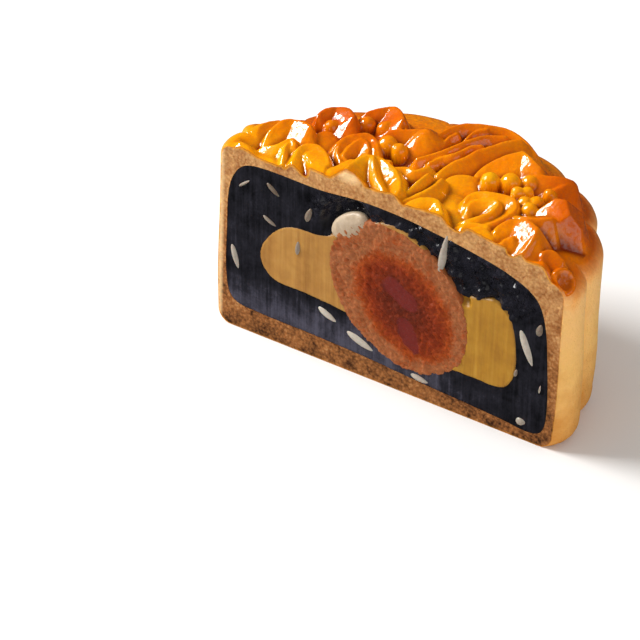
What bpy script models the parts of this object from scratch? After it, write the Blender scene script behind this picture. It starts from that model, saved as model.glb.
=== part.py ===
# Half of a baked mooncake, standing on its base with the cut side facing -Y.
# A scalloped crust with flowers in relief on top holds a black seed paste, a yellow paste, an egg yolk
# and a nut.

import math

import bmesh
import bpy
import numpy as np
from mathutils import Vector
from mathutils.geometry import delaunay_2d_cdt, interpolate_bezier

# Sizes are in millimetres with the cut plane at y = 0 and the cake behind it; finish() turns them to
# metres
MM = 0.001
GAP = 0.3

# Crust
LOBES_ROUND_CAKE = 16
LOBE_PEAK = 40.4
LOBE_NOTCH = 38.2
LOBE_PHASE_TOP = 2.0
LOBE_PHASE_BASE = 5.5
LOBE_STEPS = 8
WALL_FLARE = 0.5
CUT_SQUASH = 2.4
CUT_SQUASH_REACH = 3.0
BASE_CORNER = 3.0
SHOULDER = 2.6
SHOULDER_DROP = 2.8
VALLEY_HEIGHT = 39.4
CORNER_DROOP = 3.0
EDGE_DROP = 1.9
TOP_SPACING = 1.0

# Filling: outlines on the cut plane as (x, z), and how far each layer runs back from the cut
PASTE_OUTLINE = [
    (-4.0, 4.6), (12.6, 3.5), (26.4, 2.7), (32.5, 2.1), (35.4, 3.2), (36.3, 8.0), (35.7, 18.0), (34.5, 27.1),
    (32.2, 32.0), (26.4, 35.0), (18.0, 36.9), (11.7, 37.8), (3.1, 38.8), (-6.0, 39.0), (-15.2, 38.2),
    (-29.1, 38.2), (-33.3, 36.8), (-35.8, 32.0), (-36.3, 22.0), (-36.2, 11.0), (-34.4, 6.2), (-28.0, 5.2),
    (-15.2, 5.0)]
PASTE_CENTRE = (0.0, 20.0)
PASTE_DEPTH = 36.0
PASTE_FLATNESS = 0.3
YELLOW_OUTLINE = [
    (-25.4, 14.6), (-18.0, 14.1), (-8.6, 13.2), (-2.0, 11.4), (6.0, 9.4), (15.0, 9.6), (20.4, 9.7), (26.2, 9.9),
    (28.6, 13.0), (28.6, 20.4), (26.9, 25.8), (23.7, 27.9), (19.2, 27.0), (15.4, 27.2), (10.6, 31.0),
    (6.6, 34.4), (1.0, 35.9), (-4.2, 34.7), (-8.6, 31.2), (-14.0, 28.3), (-21.9, 27.3), (-26.4, 23.6),
    (-28.2, 18.6)]
YELLOW_CENTRE = (2.0, 20.0)
YELLOW_DEPTH = 26.0
YOLK_CENTRE = (3.1, 20.7)
YOLK_LENGTH = 33.4
YOLK_WIDTH = 26.6
YOLK_TILT = -40.0
YOLK_DEPTH = 14.0
NUT_CENTRE = (-8.6, 32.4)
NUT_LENGTH = 9.4
NUT_WIDTH = 5.2
NUT_TILT = 38.0
NUT_DEPTH = 3.2
NUT_PROUD = 0.6

# Seeds in the black paste, lying in the cut: centre (x, z), length, width and tilt of the long side
SEEDS = [
    ((12.1, 34.4), 5.4, 1.7, 82.0), ((31.0, 20.6), 8.0, 1.9, -67.0), ((-12.6, 11.0), 4.6, 1.7, -24.0),
    ((-5.0, 7.8), 6.4, 2.0, -20.0), ((8.6, 5.1), 4.0, 1.4, -8.0), ((31.0, 5.2), 2.2, 1.8, 10.0),
    ((-33.6, 16.6), 5.4, 1.6, -72.0), ((-17.7, 32.0), 3.0, 1.6, 75.0)]
SEED_PROUD = 0.4
SEED_DEPTH = 1.0

# Relief: a crest is a path of (x, y, height over the valleys) whose sides fall at two slopes, first the one
# on the right of the path. Petals, shells, stems and leaf ribs are all crests
LEFT_FLOWER = [
    (0.9, 2.4, [(-31.5, 5.6, 0.7), (-30.9, 8.0, 3.1), (-28.4, 11.0, 3.8), (-24.3, 10.3, 4.3), (-23, 9, 1.5)]),
    (0.9, 2.4, [(-25.5, 15, 1.1), (-26.1, 17.5, 3.9), (-24.5, 19.8, 4.1), (-19.3, 18, 4.7), (-18.4, 17.5, 1.8)]),
    (0.9, 2.4, [(-19.4, 20.1, 1.8), (-18.4, 22.8, 3.9), (-15.6, 25.5, 4.5), (-10.8, 22.2, 5.2), (-10, 22, 2.5)]),
    (0.9, 1.6, [(-12.1, 15.7, 1.7), (-11.6, 18.6, 3.6), (-5.4, 21.9, 4.8), (-6.4, 17.9, 2.1)]),
    (0.6, 2.2, [(-23.6, 9.0, 1.5), (-22.0, 12.0, 2.9), (-18.7, 11.8, 1.3)]),
    (0.9, 1.6, [(-30.2, 3.1, 0.7), (-26.2, 6.4, 2.5), (-24.3, 0.5, 1.0)]),
    (0.5, 1.9, [(-22.1, 0.6, 1.8), (-22.5, 5.5, 2.9), (-18.6, 6.2, 2.9), (-15.6, 3.3, 2.4)]),
    (0.2, 1.0, [(-15.3, 0.4, 1.8), (-12.9, 6.7, 2.7)]),
    (0.8, 2.2, [(-18.3, 7.6, 1.1), (-17.4, 13.0, 3.3), (-13.5, 15.3, 3.7), (-9.5, 11.7, 1.8)]),
    (0.9, 2.2, [(-14.6, 7.9, 1.4), (-15.6, 11.7, 3.0), (-13.4, 13.3, 3.4), (-11.4, 10.4, 2.4)])]
CUT_PETAL = [
    (0.8, 2.2, [(-9.2, -0.8, 5.6), (-10.2, 3.2, 5.1), (-9.3, 6.9, 5.1)]),
    (0.8, 1.8, [(-9.3, 6.9, 5.1), (-5.0, 7.2, 4.9), (-1.0, 5.0, 4.2), (0.9, 2.1, 3.9)]),
    (1.5, 0.9, [(-8.0, 6.7, 5.3), (-4.4, 2.5, 4.1), (-1.7, 0.4, 3.7)]),
    (0.9, 0.9, [(-9.0, -0.8, 5.6), (-6.0, -0.7, 3.4), (-1.4, -0.6, 3.4), (1.6, -0.4, 3.2)])]
STEMS = [
    (1.6, 1.9, [(1.4, 1.5, 2.6), (1.9, 10.5, 3.6)]),
    (1.5, 1.6, [(2.1, 0.4, 2.3), (4.4, 5.2, 3.3), (4.7, 11.0, 3.2)]),
    (1.3, 1.6, [(-5.0, 9.6, 2.6), (0.5, 13.0, 3.4)]),
    (0.3, 0.3, [(5.9, 11.7, 1.2), (13.9, 0.9, 0.6)]),
    (0.7, 1.6, [(3.5, 0.0, 2.4), (6.9, 3.2, 3.8), (10.0, 1.8, 3.5), (12.2, 0.0, 1.3)]),
    (0.5, 2.0, [(4.6, 12.5, 1.9), (8.8, 16.3, 2.4)])]
LEAF = [
    (1.7, 2.0, [(-4.1, 21.3, 2.5), (-3.1, 26.3, 4.0), (3.0, 31.3, 4.8), (8.4, 32.6, 4.7), (13.3, 31.4, 3.0)]),
    (1.7, 2.0, [(-1.6, 21.9, 2.5), (-1.3, 26.2, 3.7)]),
    (1.7, 2.0, [(1.1, 25.4, 3.4), (3.0, 30.2, 4.4)]),
    (1.7, 1.9, [(-3.3, 15.2, 2.6), (1.1, 22.4, 3.8), (7.4, 29.9, 4.6)]),
    (1.6, 1.8, [(-0.8, 15.6, 2.5), (5.1, 24.7, 4.2)]),
    (0.9, 1.9, [(2.5, 13.1, 2.5), (5.7, 22.6, 4.3), (10.1, 30.7, 4.8)])]
RIGHT_FLOWER = [
    (0.6, 2.6, [(10.4, 14.0, 1.5), (8.6, 17.6, 2.9), (10.1, 21.2, 4.4), (13.9, 25.0, 6.0)]),
    (0.8, 1.2, [(13.9, 25.0, 6.0), (19.0, 23.0, 5.4), (19.6, 22.6, 3.9)]),
    (0.8, 2.0, [(11.8, 7.0, 2.2), (13.3, 11.0, 3.8), (19.0, 12.0, 4.3), (21.4, 8.9, 3.7), (16.2, 2.2, 2.3)]),
    (1.0, 1.6, [(13.4, 5.6, 2.0), (13.5, 8.4, 3.3), (17.6, 9.6, 4.0), (17.3, 5.0, 3.2), (14.8, 2.7, 2.1)]),
    (0.1, 2.0, [(15.1, -0.2, 0.7), (17.2, 0.2, 2.2), (19.4, 0.4, 1.8)]),
    (0.9, 1.4, [(16.6, -0.2, 2.5), (18.8, 1.2, 3.1), (21.6, 1.1, 2.3)]),
    (0.8, 2.0, [(21.5, 1.5, 2.2), (22.5, 5.3, 4.1), (25.8, 6.4, 5.0), (28.6, 5.3, 4.9), (28.3, 0.1, 1.7)]),
    (1.0, 1.8, [(31.6, 1.6, 1.6), (33.0, 4.0, 3.1), (35.2, 3.9, 2.8)]),
    (0.9, 1.6, [(16.7, 19.6, 3.0), (20.5, 22.1, 4.7), (25.2, 24.3, 5.2), (23.0, 18.8, 2.9)]),
    (2.0, 0.6, [(23.5, 7.5, 4.0), (29.0, 9.7, 4.9)])]
LEFT_RIM = [(0.8, 0.8, [(-36.8, 0.0, -1.1), (-34.0, 1.0, 1.2), (-29.9, 0.2, 0.1), (-24.0, 0.9, 0.5)])]
# The tall petal is cut by planes: a point (x, y, height), the direction each falls in, and its slope
GEM_PLANES = [
    (27.9, 14.5, 6.5, -110.0, 0.78), (28.1, 9.5, 4.8, -55.0, 2.4), (32.1, 12.6, 5.3, 25.0, 0.85),
    (27.9, 14.5, 6.5, 110.0, 1.3), (25.2, 10.4, 4.4, 175.0, 1.2)]
# Beads: centre (x, y), height of the middle and radius
BEADS = [
    (-22.9, 15.5, 1.7, 1.5), (-20.0, 17.1, 1.8, 1.8), (-17.6, 20.0, 2.0, 1.8), (-14.0, 20.6, 2.1, 1.7),
    (-10.4, 16.1, 2.1, 2.0), (-7.7, 15.8, 1.9, 1.7), (12.2, 16.1, 2.7, 2.0), (15.6, 17.9, 2.8, 2.1),
    (18.5, 20.0, 2.9, 1.7), (18.5, 15.5, 2.9, 1.5), (19.9, 16.7, 2.9, 1.4), (23.7, 18.5, 3.1, 1.4),
    (21.2, 13.6, 2.8, 1.5), (23.0, 14.8, 2.8, 1.6), (23.2, 12.0, 2.7, 1.7)]
DIP = (-32.4, 4.8, 1.7, 2.6)
FADE = 1.6
SOFTENING = 0.6
CORNER_DISC = (36.4, 1.6, 36.4)
CORNER_DISC_SIZE = (5.0, 5.6, 5.4)

# Colour, roughness and metallic value of each part
LOOKS = {
    "crust": ((0.62, 0.27, 0.05), 0.45),
    "black_paste": ((0.012, 0.012, 0.018), 0.5),
    "yellow_paste": ((0.55, 0.33, 0.06), 0.55),
    "egg_yolk": ((0.42, 0.10, 0.02), 0.5),
    "nut": ((0.75, 0.66, 0.45), 0.5),
}


# Outlines

def closed_curve(points, count):
    """Even points along a smooth closed curve through the given (x, z) points."""
    dense = []
    total = len(points)
    for i in range(total):
        before, here, there, after = (Vector((*points[(i + k) % total], 0.0)) for k in (-1, 0, 1, 2))
        reach = (there - here).length / 3.0
        leave = here + (there - before).normalized() * reach
        arrive = there - (after - here).normalized() * reach
        dense += interpolate_bezier(here, leave, arrive, there, 13)[:-1]
    dense.append(dense[0])
    lengths = [0.0]
    for a, b in zip(dense, dense[1:]):
        lengths.append(lengths[-1] + (b - a).length)
    even = np.linspace(0.0, lengths[-1], count, endpoint=False)
    xs = np.interp(even, lengths, [p.x for p in dense])
    zs = np.interp(even, lengths, [p.y for p in dense])
    return np.stack([xs, zs], 1)


def ellipse(centre, length, width, tilt, count):
    """Points round an ellipse whose long axis is tilt degrees above +X."""
    t = np.linspace(0.0, 2.0 * math.pi, count, endpoint=False)
    c, s = math.cos(math.radians(tilt)), math.sin(math.radians(tilt))
    u, v = 0.5 * length * np.cos(t), 0.5 * width * np.sin(t)
    return np.stack([centre[0] + u * c - v * s, centre[1] + u * s + v * c], 1)


def grown(outline, gap):
    """The anticlockwise outline pushed outward by gap."""
    tangent = np.roll(outline, -1, 0) - np.roll(outline, 1, 0)
    normal = np.stack([tangent[:, 1], -tangent[:, 0]], 1)
    return outline + gap * normal / np.linalg.norm(normal, axis=1)[:, None]


# Relief on the top, as heights above the valleys over the plan (x, y)

def crest(x, y, right_slope, left_slope, path):
    """A crest along a path, falling at one slope on its right and at another on its left."""
    sides, aways, heights = [], [], []
    for (ax, ay, az), (bx, by, bz) in zip(path, path[1:]):
        length2 = (bx - ax) ** 2 + (by - ay) ** 2
        t = np.clip(((x - ax) * (bx - ax) + (y - ay) * (by - ay)) / length2, 0.0, 1.0)
        dx, dy = x - ax - t * (bx - ax), y - ay - t * (by - ay)
        sides.append(dx * (by - ay) > dy * (bx - ax))
        aways.append(np.hypot(dx, dy))
        heights.append(az + t * (bz - az))
    nearest = np.argmin(aways, axis=0)[None]
    slope = np.where(np.take_along_axis(np.array(sides), nearest, 0), right_slope, left_slope)
    return (np.array(heights) - slope * np.array(aways)).max(0)


def gem(x, y):
    """The petal with flat faces: the lowest of its planes."""
    heights = []
    for px, py, height, fall, slope in GEM_PLANES:
        turn = math.radians(fall)
        heights.append(height - slope * ((x - px) * math.cos(turn) + (y - py) * math.sin(turn)))
    return np.minimum.reduce(heights)


def bead(x, y, middle_x, middle_y, middle, radius):
    """A ball seen as a height."""
    left = radius ** 2 - (x - middle_x) ** 2 - (y - middle_y) ** 2
    return np.where(left > 0.0, middle + np.sqrt(np.clip(left, 0.0, None)), 0.0)


def relief(x, y):
    """Height of the flowers, the leaf and the beads over the valleys."""
    dip_x, dip_y, depth, spread = DIP
    best = -depth * np.exp(-((x - dip_x) ** 2 + (y - dip_y) ** 2) / spread ** 2)
    for group in (LEFT_FLOWER, CUT_PETAL, STEMS, LEAF, RIGHT_FLOWER, LEFT_RIM):
        for right_slope, left_slope, path in group:
            best = np.maximum(best, crest(x, y, right_slope, left_slope, path))
    for ball in BEADS:
        best = np.maximum(best, bead(x, y, *ball))
    return np.maximum(best, gem(x, y))


def valley(x, y):
    """Height of the valleys: lower to the right and to the wall, and drooping at the cut's right corner."""
    droop = np.clip((x - 27.0) / 11.0, 0.0, 1.0) ** 2 * np.exp(-y / 9.0)
    edge = np.clip((np.hypot(x, y) - 29.0) / 9.0, 0.0, 1.0) ** 1.5 * np.clip(y / 9.0, 0.0, 1.0)
    return VALLEY_HEIGHT - 0.030 * x - CORNER_DROOP * droop - EDGE_DROP * edge


def top_height(x, y, room):
    """Height of the top surface; room is the distance to the top's edge, where the relief fades out."""
    turns = np.radians(np.arange(0.0, 360.0, 60.0))
    spots = [(0.0, 0.0)] + [(SOFTENING * math.cos(turn), SOFTENING * math.sin(turn)) for turn in turns]
    softened = sum(relief(x + dx, y + dy) for dx, dy in spots) / len(spots)
    return valley(x, y) + softened * np.clip(room / FADE, 0.0, 1.0)


# Crust

def wall_columns(level):
    """Angle and radius of the scalloped wall's columns; level is 0 at the base and 1 at the shoulder."""
    pitch = 180.0 / (LOBES_ROUND_CAKE / 2)
    phase = LOBE_PHASE_BASE + (LOBE_PHASE_TOP - LOBE_PHASE_BASE) * level
    columns = []
    for k in range(LOBES_ROUND_CAKE // 2 + 1):
        middle = phase + k * pitch
        low, high = max(middle - pitch / 2, 0.0), min(middle + pitch / 2, 180.0)
        steps = LOBE_STEPS if 0 < k < LOBES_ROUND_CAKE // 2 else LOBE_STEPS // 2
        columns += [(low + (high - low) * i / steps, middle) for i in range(steps)]
    columns.append((180.0, middle))
    flare = WALL_FLARE * math.exp(-(((level - 0.25) / 0.35) ** 2))
    rim = []
    for angle, middle in columns:
        across = min(abs(angle - middle) / (pitch / 2), 1.0)
        radius = LOBE_NOTCH + (LOBE_PEAK + flare - LOBE_NOTCH) * (1.0 - across * across) ** 0.6
        depth = radius * math.sin(math.radians(angle))
        rim.append((math.radians(angle), radius - CUT_SQUASH * math.exp(-depth / CUT_SQUASH_REACH)))
    return rim


def wall_ring(level, inset, height):
    """A ring of wall points pulled in by inset; height is a function of the plan place."""
    ring = []
    for angle, radius in wall_columns(level):
        x, y = (radius - inset) * math.cos(angle), max((radius - inset) * math.sin(angle), 0.0)
        ring.append((x, 0.0 if angle in (0.0, math.pi) else y, height(x, y)))
    return ring


def shoulder_base(x, y):
    """Height where the wall starts to round over into the top."""
    return float(valley(np.array(x * 0.94), np.array(y * 0.94))) - SHOULDER_DROP


def wall_height(x, y, level):
    """Height on the upright wall; level runs from 0 at the base corner to 1 at the shoulder."""
    return BASE_CORNER + (shoulder_base(x, y) - BASE_CORNER) * level


def crust_rings():
    """Rings from the flat base up the wall and over the shoulder."""
    rings = []
    for a in np.radians(np.linspace(0.0, 90.0, 5)):
        inset, z = BASE_CORNER * (1.0 - math.sin(a)), BASE_CORNER * (1.0 - math.cos(a))
        rings.append(wall_ring(0.0, inset, lambda x, y, z=z: z))
    for level in (0.15, 0.35, 0.6, 0.85):
        rings.append(wall_ring(level, 0.0, lambda x, y, level=level: wall_height(x, y, level)))
    for a in np.radians(np.linspace(0.0, 90.0, 4)):
        inset, rise = SHOULDER * (1.0 - math.cos(a)), SHOULDER_DROP * math.sin(a)
        rings.append(wall_ring(1.0, inset, lambda x, y, rise=rise: shoulder_base(x, y) + rise))
    rings[-1] = [(x, y, float(valley(np.array(x), np.array(y)))) for x, y, z in rings[-1]]
    return rings


def top_points(rim):
    """Plan points of the top: its rim, the edge along the cut and a hexagonal grid inside."""
    left, right = rim[-1][0], rim[0][0]
    cut_steps = round((right - left) / (0.9 * TOP_SPACING))
    along_cut = [(x, 0.0) for x in np.linspace(left, right, cut_steps + 1)[1:-1]]
    edge = [(x, y) for x, y, z in rim] + along_cut
    angles = np.array([math.atan2(y, x) for x, y, z in rim])
    radii = np.array([math.hypot(x, y) for x, y, z in rim])
    inside = []
    rows = int(LOBE_PEAK / (TOP_SPACING * 0.866))
    for row in range(1, rows):
        y = row * TOP_SPACING * 0.866 - 0.1
        for x in np.arange(-LOBE_PEAK, LOBE_PEAK, TOP_SPACING) + (row % 2) * TOP_SPACING / 2:
            if math.hypot(x, y) < np.interp(math.atan2(y, x), angles, radii) - 0.6 * TOP_SPACING:
                inside.append((float(x), y))
    return edge, inside, angles, radii


def crust_body():
    """The crust as one closed body, before the filling's hollow is cut."""
    bm = bmesh.new()
    rings = [[bm.verts.new(p) for p in ring] for ring in crust_rings()]
    for low, high in zip(rings, rings[1:]):
        for i in range(len(low) - 1):
            bm.faces.new((low[i], low[i + 1], high[i + 1], high[i]))
    edge, inside, angles, radii = top_points([tuple(v.co) for v in rings[-1]])
    plan = [Vector(p) for p in edge + inside]
    loop = [(i, (i + 1) % len(edge)) for i in range(len(edge))]
    points, _, triangles, origins, _, _ = delaunay_2d_cdt(plan, loop, [], 1, 1e-6)
    xs, ys = np.array([p.x for p in points]), np.array([p.y for p in points])
    room = np.interp(np.arctan2(ys, xs), angles, radii) - np.hypot(xs, ys)
    heights = top_height(xs, ys, room)
    made = []
    for point, height, origin in zip(points, heights, origins):
        on_rim = bool(origin) and origin[0] < len(rings[-1])
        made.append(rings[-1][origin[0]] if on_rim else bm.verts.new((point.x, point.y, float(height))))
    for triangle in triangles:
        bm.faces.new([made[i] for i in triangle])
    bm.faces.new(rings[0])
    along_cut = [v for v, o in zip(made, origins) if o and len(rings[-1]) <= o[0] < len(edge)]
    along_cut.sort(key=lambda v: -v.co.x)
    bm.faces.new([r[0] for r in rings] + along_cut + [r[-1] for r in reversed(rings)])
    return body("crust", bm)


# Filling

def layer(name, outline, centre, depth, front=0.0, flatness=1.0, prism=0.0, steps=8):
    """A layer that runs back from the cut: its outline shrinks about centre to a point at depth.

    A prism in front makes a cutter, a dome in front makes something that stands proud of the cut.
    """
    bm = bmesh.new()
    sections = [(0.0, -prism)] if prism else []
    if front:
        sections = [(a, front * math.sin(a)) for a in np.radians((-55.0, -25.0))]
    sections += [(a, depth * math.sin(a)) for a in np.radians(np.linspace(0.0, 90.0, steps + 1))[:-1]]
    rings = []
    for a, y in sections:
        wide, tall = math.cos(a), math.cos(a) ** flatness
        shrunk = [(centre[0] + (x - centre[0]) * wide, centre[1] + (z - centre[1]) * tall) for x, z in outline]
        rings.append([bm.verts.new((x, y, z)) for x, z in shrunk])
    for near, far in zip(rings, rings[1:]):
        for i in range(len(near)):
            j = (i + 1) % len(near)
            bm.faces.new((near[i], near[j], far[j], far[i]))
    back = bm.verts.new((centre[0], depth, centre[1]))
    for i in range(len(rings[-1])):
        bm.faces.new((rings[-1][i], rings[-1][(i + 1) % len(outline)], back))
    if front:
        tip = bm.verts.new((centre[0], -front, centre[1]))
        for i in range(len(outline)):
            bm.faces.new((rings[0][(i + 1) % len(outline)], rings[0][i], tip))
    else:
        bm.faces.new(rings[0])
    return body(name, bm)


def layer_and_cutter(name, outline, centre, depth, **shape):
    """A layer and the cutter that makes its hollow in what holds it, wider by the gap all round."""
    cutter_shape = {key: value for key, value in shape.items() if key != "front"}
    cutter = layer(f"{name}_cutter", grown(outline, GAP), centre, depth + GAP, prism=2.0, **cutter_shape)
    return layer(name, outline, centre, depth, **shape), cutter


# Blender objects

def body(name, bm):
    """A mesh object from a bmesh, with its faces outward."""
    bmesh.ops.recalc_face_normals(bm, faces=bm.faces[:])
    mesh = bpy.data.meshes.new(name)
    bm.to_mesh(mesh)
    bm.free()
    made = bpy.data.objects.new(name, mesh)
    bpy.context.scene.collection.objects.link(made)
    return made


def apply_boolean(target, operation, operand):
    """Apply one exact Boolean with an object or a collection."""
    cut = target.modifiers.new("Cut", "BOOLEAN")
    cut.operation = operation
    cut.solver = "EXACT"
    if isinstance(operand, bpy.types.Collection):
        cut.operand_type = "COLLECTION"
        cut.collection = operand
    else:
        cut.object = operand
    depsgraph = bpy.context.evaluated_depsgraph_get()
    mesh = bpy.data.meshes.new_from_object(target.evaluated_get(depsgraph))
    target.modifiers.clear()
    old = target.data
    target.data = mesh
    bpy.data.meshes.remove(old)


def fuse_seeds(paste):
    """Fuse the seeds to the black paste in one union."""
    group = bpy.data.collections.new("seeds")
    bpy.context.scene.collection.children.link(group)
    for i, (centre, length, width, tilt) in enumerate(SEEDS):
        outline = ellipse(centre, length, width, tilt, 10)
        seed = layer(f"seed_{i}", outline, centre, SEED_DEPTH, front=SEED_PROUD, steps=2)
        bpy.context.scene.collection.objects.unlink(seed)
        group.objects.link(seed)
    apply_boolean(paste, "UNION", group)
    for seed in list(group.objects):
        bpy.data.objects.remove(seed)
    bpy.data.collections.remove(group)


def fuse_corner_disc(crust):
    """Fuse the round petal that hangs over the cut's right corner."""
    bm = bmesh.new()
    bmesh.ops.create_uvsphere(bm, u_segments=16, v_segments=8, radius=0.5)
    for vert in bm.verts:
        vert.co = Vector([c * s for c, s in zip(vert.co, CORNER_DISC_SIZE)]) + Vector(CORNER_DISC)
        vert.co.y = max(vert.co.y, 0.0)
    bmesh.ops.remove_doubles(bm, verts=bm.verts[:], dist=1e-4)
    bmesh.ops.dissolve_degenerate(bm, edges=bm.edges[:], dist=1e-4)
    disc = body("corner_disc", bm)
    apply_boolean(crust, "UNION", disc)
    bpy.data.objects.remove(disc)


def material(name):
    """A Principled material in the part's colour."""
    colour, roughness = LOOKS[name]
    made = bpy.data.materials.new(name)
    made.use_nodes = True
    shader = made.node_tree.nodes["Principled BSDF"]
    shader.inputs["Base Color"].default_value = (*colour, 1.0)
    shader.inputs["Roughness"].default_value = roughness
    shader.inputs["Metallic"].default_value = 0.0
    return made


def finish(parts):
    """Turn millimetres to metres, put the bounding box's bottom centre at the origin, and set materials."""
    corners = np.array([tuple(v.co) for part in parts for v in part.data.vertices])
    low, high = corners.min(0), corners.max(0)
    shift = Vector(((low[0] + high[0]) / 2.0, (low[1] + high[1]) / 2.0, low[2]))
    for part in parts:
        for vert in part.data.vertices:
            vert.co = (vert.co - shift) * MM
        part.data.materials.clear()
        part.data.materials.append(material(part.name))
        part.data.shade_smooth()
        part.data.set_sharp_from_angle(angle=math.radians(50.0))


def build():
    """Build the crust and its filling."""
    for old in list(bpy.data.objects):
        bpy.data.objects.remove(old)
    paste_curve, yellow_curve = closed_curve(PASTE_OUTLINE, 56), closed_curve(YELLOW_OUTLINE, 46)
    yolk_curve = ellipse(YOLK_CENTRE, YOLK_LENGTH, YOLK_WIDTH, YOLK_TILT, 32)
    nut_curve = ellipse(NUT_CENTRE, NUT_LENGTH, NUT_WIDTH, NUT_TILT, 14)
    crust = crust_body()
    fuse_corner_disc(crust)
    paste, paste_cutter = layer_and_cutter(
        "black_paste", paste_curve, PASTE_CENTRE, PASTE_DEPTH, flatness=PASTE_FLATNESS, steps=9)
    yellow, yellow_cutter = layer_and_cutter(
        "yellow_paste", yellow_curve, YELLOW_CENTRE, YELLOW_DEPTH, steps=7)
    yolk, yolk_cutter = layer_and_cutter("egg_yolk", yolk_curve, YOLK_CENTRE, YOLK_DEPTH, steps=7)
    nut, nut_cutter = layer_and_cutter("nut", nut_curve, NUT_CENTRE, NUT_DEPTH, front=NUT_PROUD, steps=4)
    apply_boolean(crust, "DIFFERENCE", paste_cutter)
    hollows = ((yellow_cutter, [paste]), (yolk_cutter, [paste, yellow]), (nut_cutter, [paste, yellow, yolk]))
    for cutter, targets in hollows:
        for target in targets:
            apply_boolean(target, "DIFFERENCE", cutter)
    fuse_seeds(paste)
    for cutter in (paste_cutter, yellow_cutter, yolk_cutter, nut_cutter):
        bpy.data.objects.remove(cutter)
    finish([crust, paste, yellow, yolk, nut])


build()
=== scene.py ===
# %% [markdown]
# # Half of a baked mooncake
# The real cake is a glossy baked crust, pressed in a carved mould, round a black seed paste, a yellow
# paste, a cured egg yolk and a nut. A knife went straight through it, so every layer shows at the cut.
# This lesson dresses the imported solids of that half: each part gets a finer mesh with the relief, crumb
# and knife marks of the real food, and a procedural finish.

# %% Load the frame
import math

import bmesh
import bpy
import numpy as np
from mathutils import Matrix, Vector
from mathutils.geometry import delaunay_2d_cdt, interpolate_bezier


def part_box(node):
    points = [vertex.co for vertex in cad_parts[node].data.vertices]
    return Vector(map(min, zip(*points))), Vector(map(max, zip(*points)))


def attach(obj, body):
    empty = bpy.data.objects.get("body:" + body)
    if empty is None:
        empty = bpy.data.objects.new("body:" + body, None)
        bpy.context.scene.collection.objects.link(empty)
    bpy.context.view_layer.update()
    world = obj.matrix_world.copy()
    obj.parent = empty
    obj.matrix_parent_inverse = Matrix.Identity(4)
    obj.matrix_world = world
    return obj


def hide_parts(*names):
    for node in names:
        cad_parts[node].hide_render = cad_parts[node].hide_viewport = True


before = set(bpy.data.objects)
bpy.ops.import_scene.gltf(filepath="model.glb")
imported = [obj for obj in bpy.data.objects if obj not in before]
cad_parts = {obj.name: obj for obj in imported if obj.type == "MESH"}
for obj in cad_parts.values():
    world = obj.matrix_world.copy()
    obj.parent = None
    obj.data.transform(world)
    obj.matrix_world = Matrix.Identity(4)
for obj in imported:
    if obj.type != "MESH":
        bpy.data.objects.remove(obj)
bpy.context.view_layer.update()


def in_scene(name, data):
    """A new object in the scene that holds a mesh, a lamp or a camera."""
    made = bpy.data.objects.new(name, data)
    bpy.context.scene.collection.objects.link(made)
    return made


# %% [markdown]
# ## One set of axes for the food
# The layers are easiest to draw in millimetres on axes of their own: x along the cut, y into the cake
# from the cut, z up from the base. The crust's front gives the cut plane and the nut gives x.

# %% The food's own axes
MM = 0.001
NUT_CENTRE = (-8.6, 32.4)
nut_low, nut_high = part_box("nut")
crust_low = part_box("crust")[0]
ORIGIN = Vector(((nut_low.x + nut_high.x) / 2.0 - NUT_CENTRE[0] * MM, crust_low.y, crust_low.z))
print("the cut plane is at y =", round(ORIGIN.y / MM, 2), "mm and x starts at", round(ORIGIN.x / MM, 2), "mm")


def placed(points):
    """Points in food millimetres as points of the frame, in metres."""
    return np.asarray(points, float) * MM + np.array(ORIGIN)


def stacked(*columns):
    """Numbers and arrays as the columns of one array."""
    return np.stack(np.broadcast_arrays(*columns), 1)


# %% [markdown]
# ## Camera, floor and light
# The photograph was taken from the right of the cut and from above, with a long lens. A softbox high on
# the left makes the white glints on the glaze and the beads. A large panel on the right lights the sides
# that face it and stays out of the gloss, and a second, weaker one adds a soft sheen there. A white room
# fills the shadows, but shows only faintly in the gloss, as a studio's dark surroundings do.

# %% Camera
VIEW_BACK = Vector((0.4397, -0.7037, 0.5580))
VIEW_RIGHT = Vector((0.8480, 0.5299, 0.0))
VIEW_UP = Vector((-0.2957, 0.4733, 0.8298))
VIEW_ROLL = math.radians(2.12)
VIEW_TARGET = Vector((0.0, 15.2, 20.0))
VIEW_DISTANCE = 608.7
VIEW_SHIFT = (20.09, 12.03)
LENS_PIXELS = 3158.0
PICTURE_SIDE = 640.0
SENSOR = 36.0

camera = bpy.data.cameras.new("camera")
camera.sensor_width = SENSOR
camera.lens = LENS_PIXELS * SENSOR / PICTURE_SIDE
camera.clip_start, camera.clip_end = 0.01, 10.0
view = in_scene("camera", camera)
eye = VIEW_TARGET + VIEW_BACK * VIEW_DISTANCE - VIEW_RIGHT * VIEW_SHIFT[0] - VIEW_UP * VIEW_SHIFT[1]
turned_right = VIEW_RIGHT * math.cos(VIEW_ROLL) + VIEW_UP * math.sin(VIEW_ROLL)
turned_up = VIEW_UP * math.cos(VIEW_ROLL) - VIEW_RIGHT * math.sin(VIEW_ROLL)
pose = Matrix((turned_right, turned_up, VIEW_BACK)).transposed().to_4x4()
pose.translation = eye * MM + ORIGIN
view.matrix_world = pose
bpy.context.scene.camera = view
print("lens", round(camera.lens, 1), "mm")

# %% Floor and lights
FLOOR_SIDE = 6.0
FLOOR_GREY = 0.93
FLOOR_ROUGHNESS = 0.9
ROOM_LIGHT = 0.38
ROOM_IN_GLOSS = 0.03
AIM = Vector((0.0, 0.0, 0.02))
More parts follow.
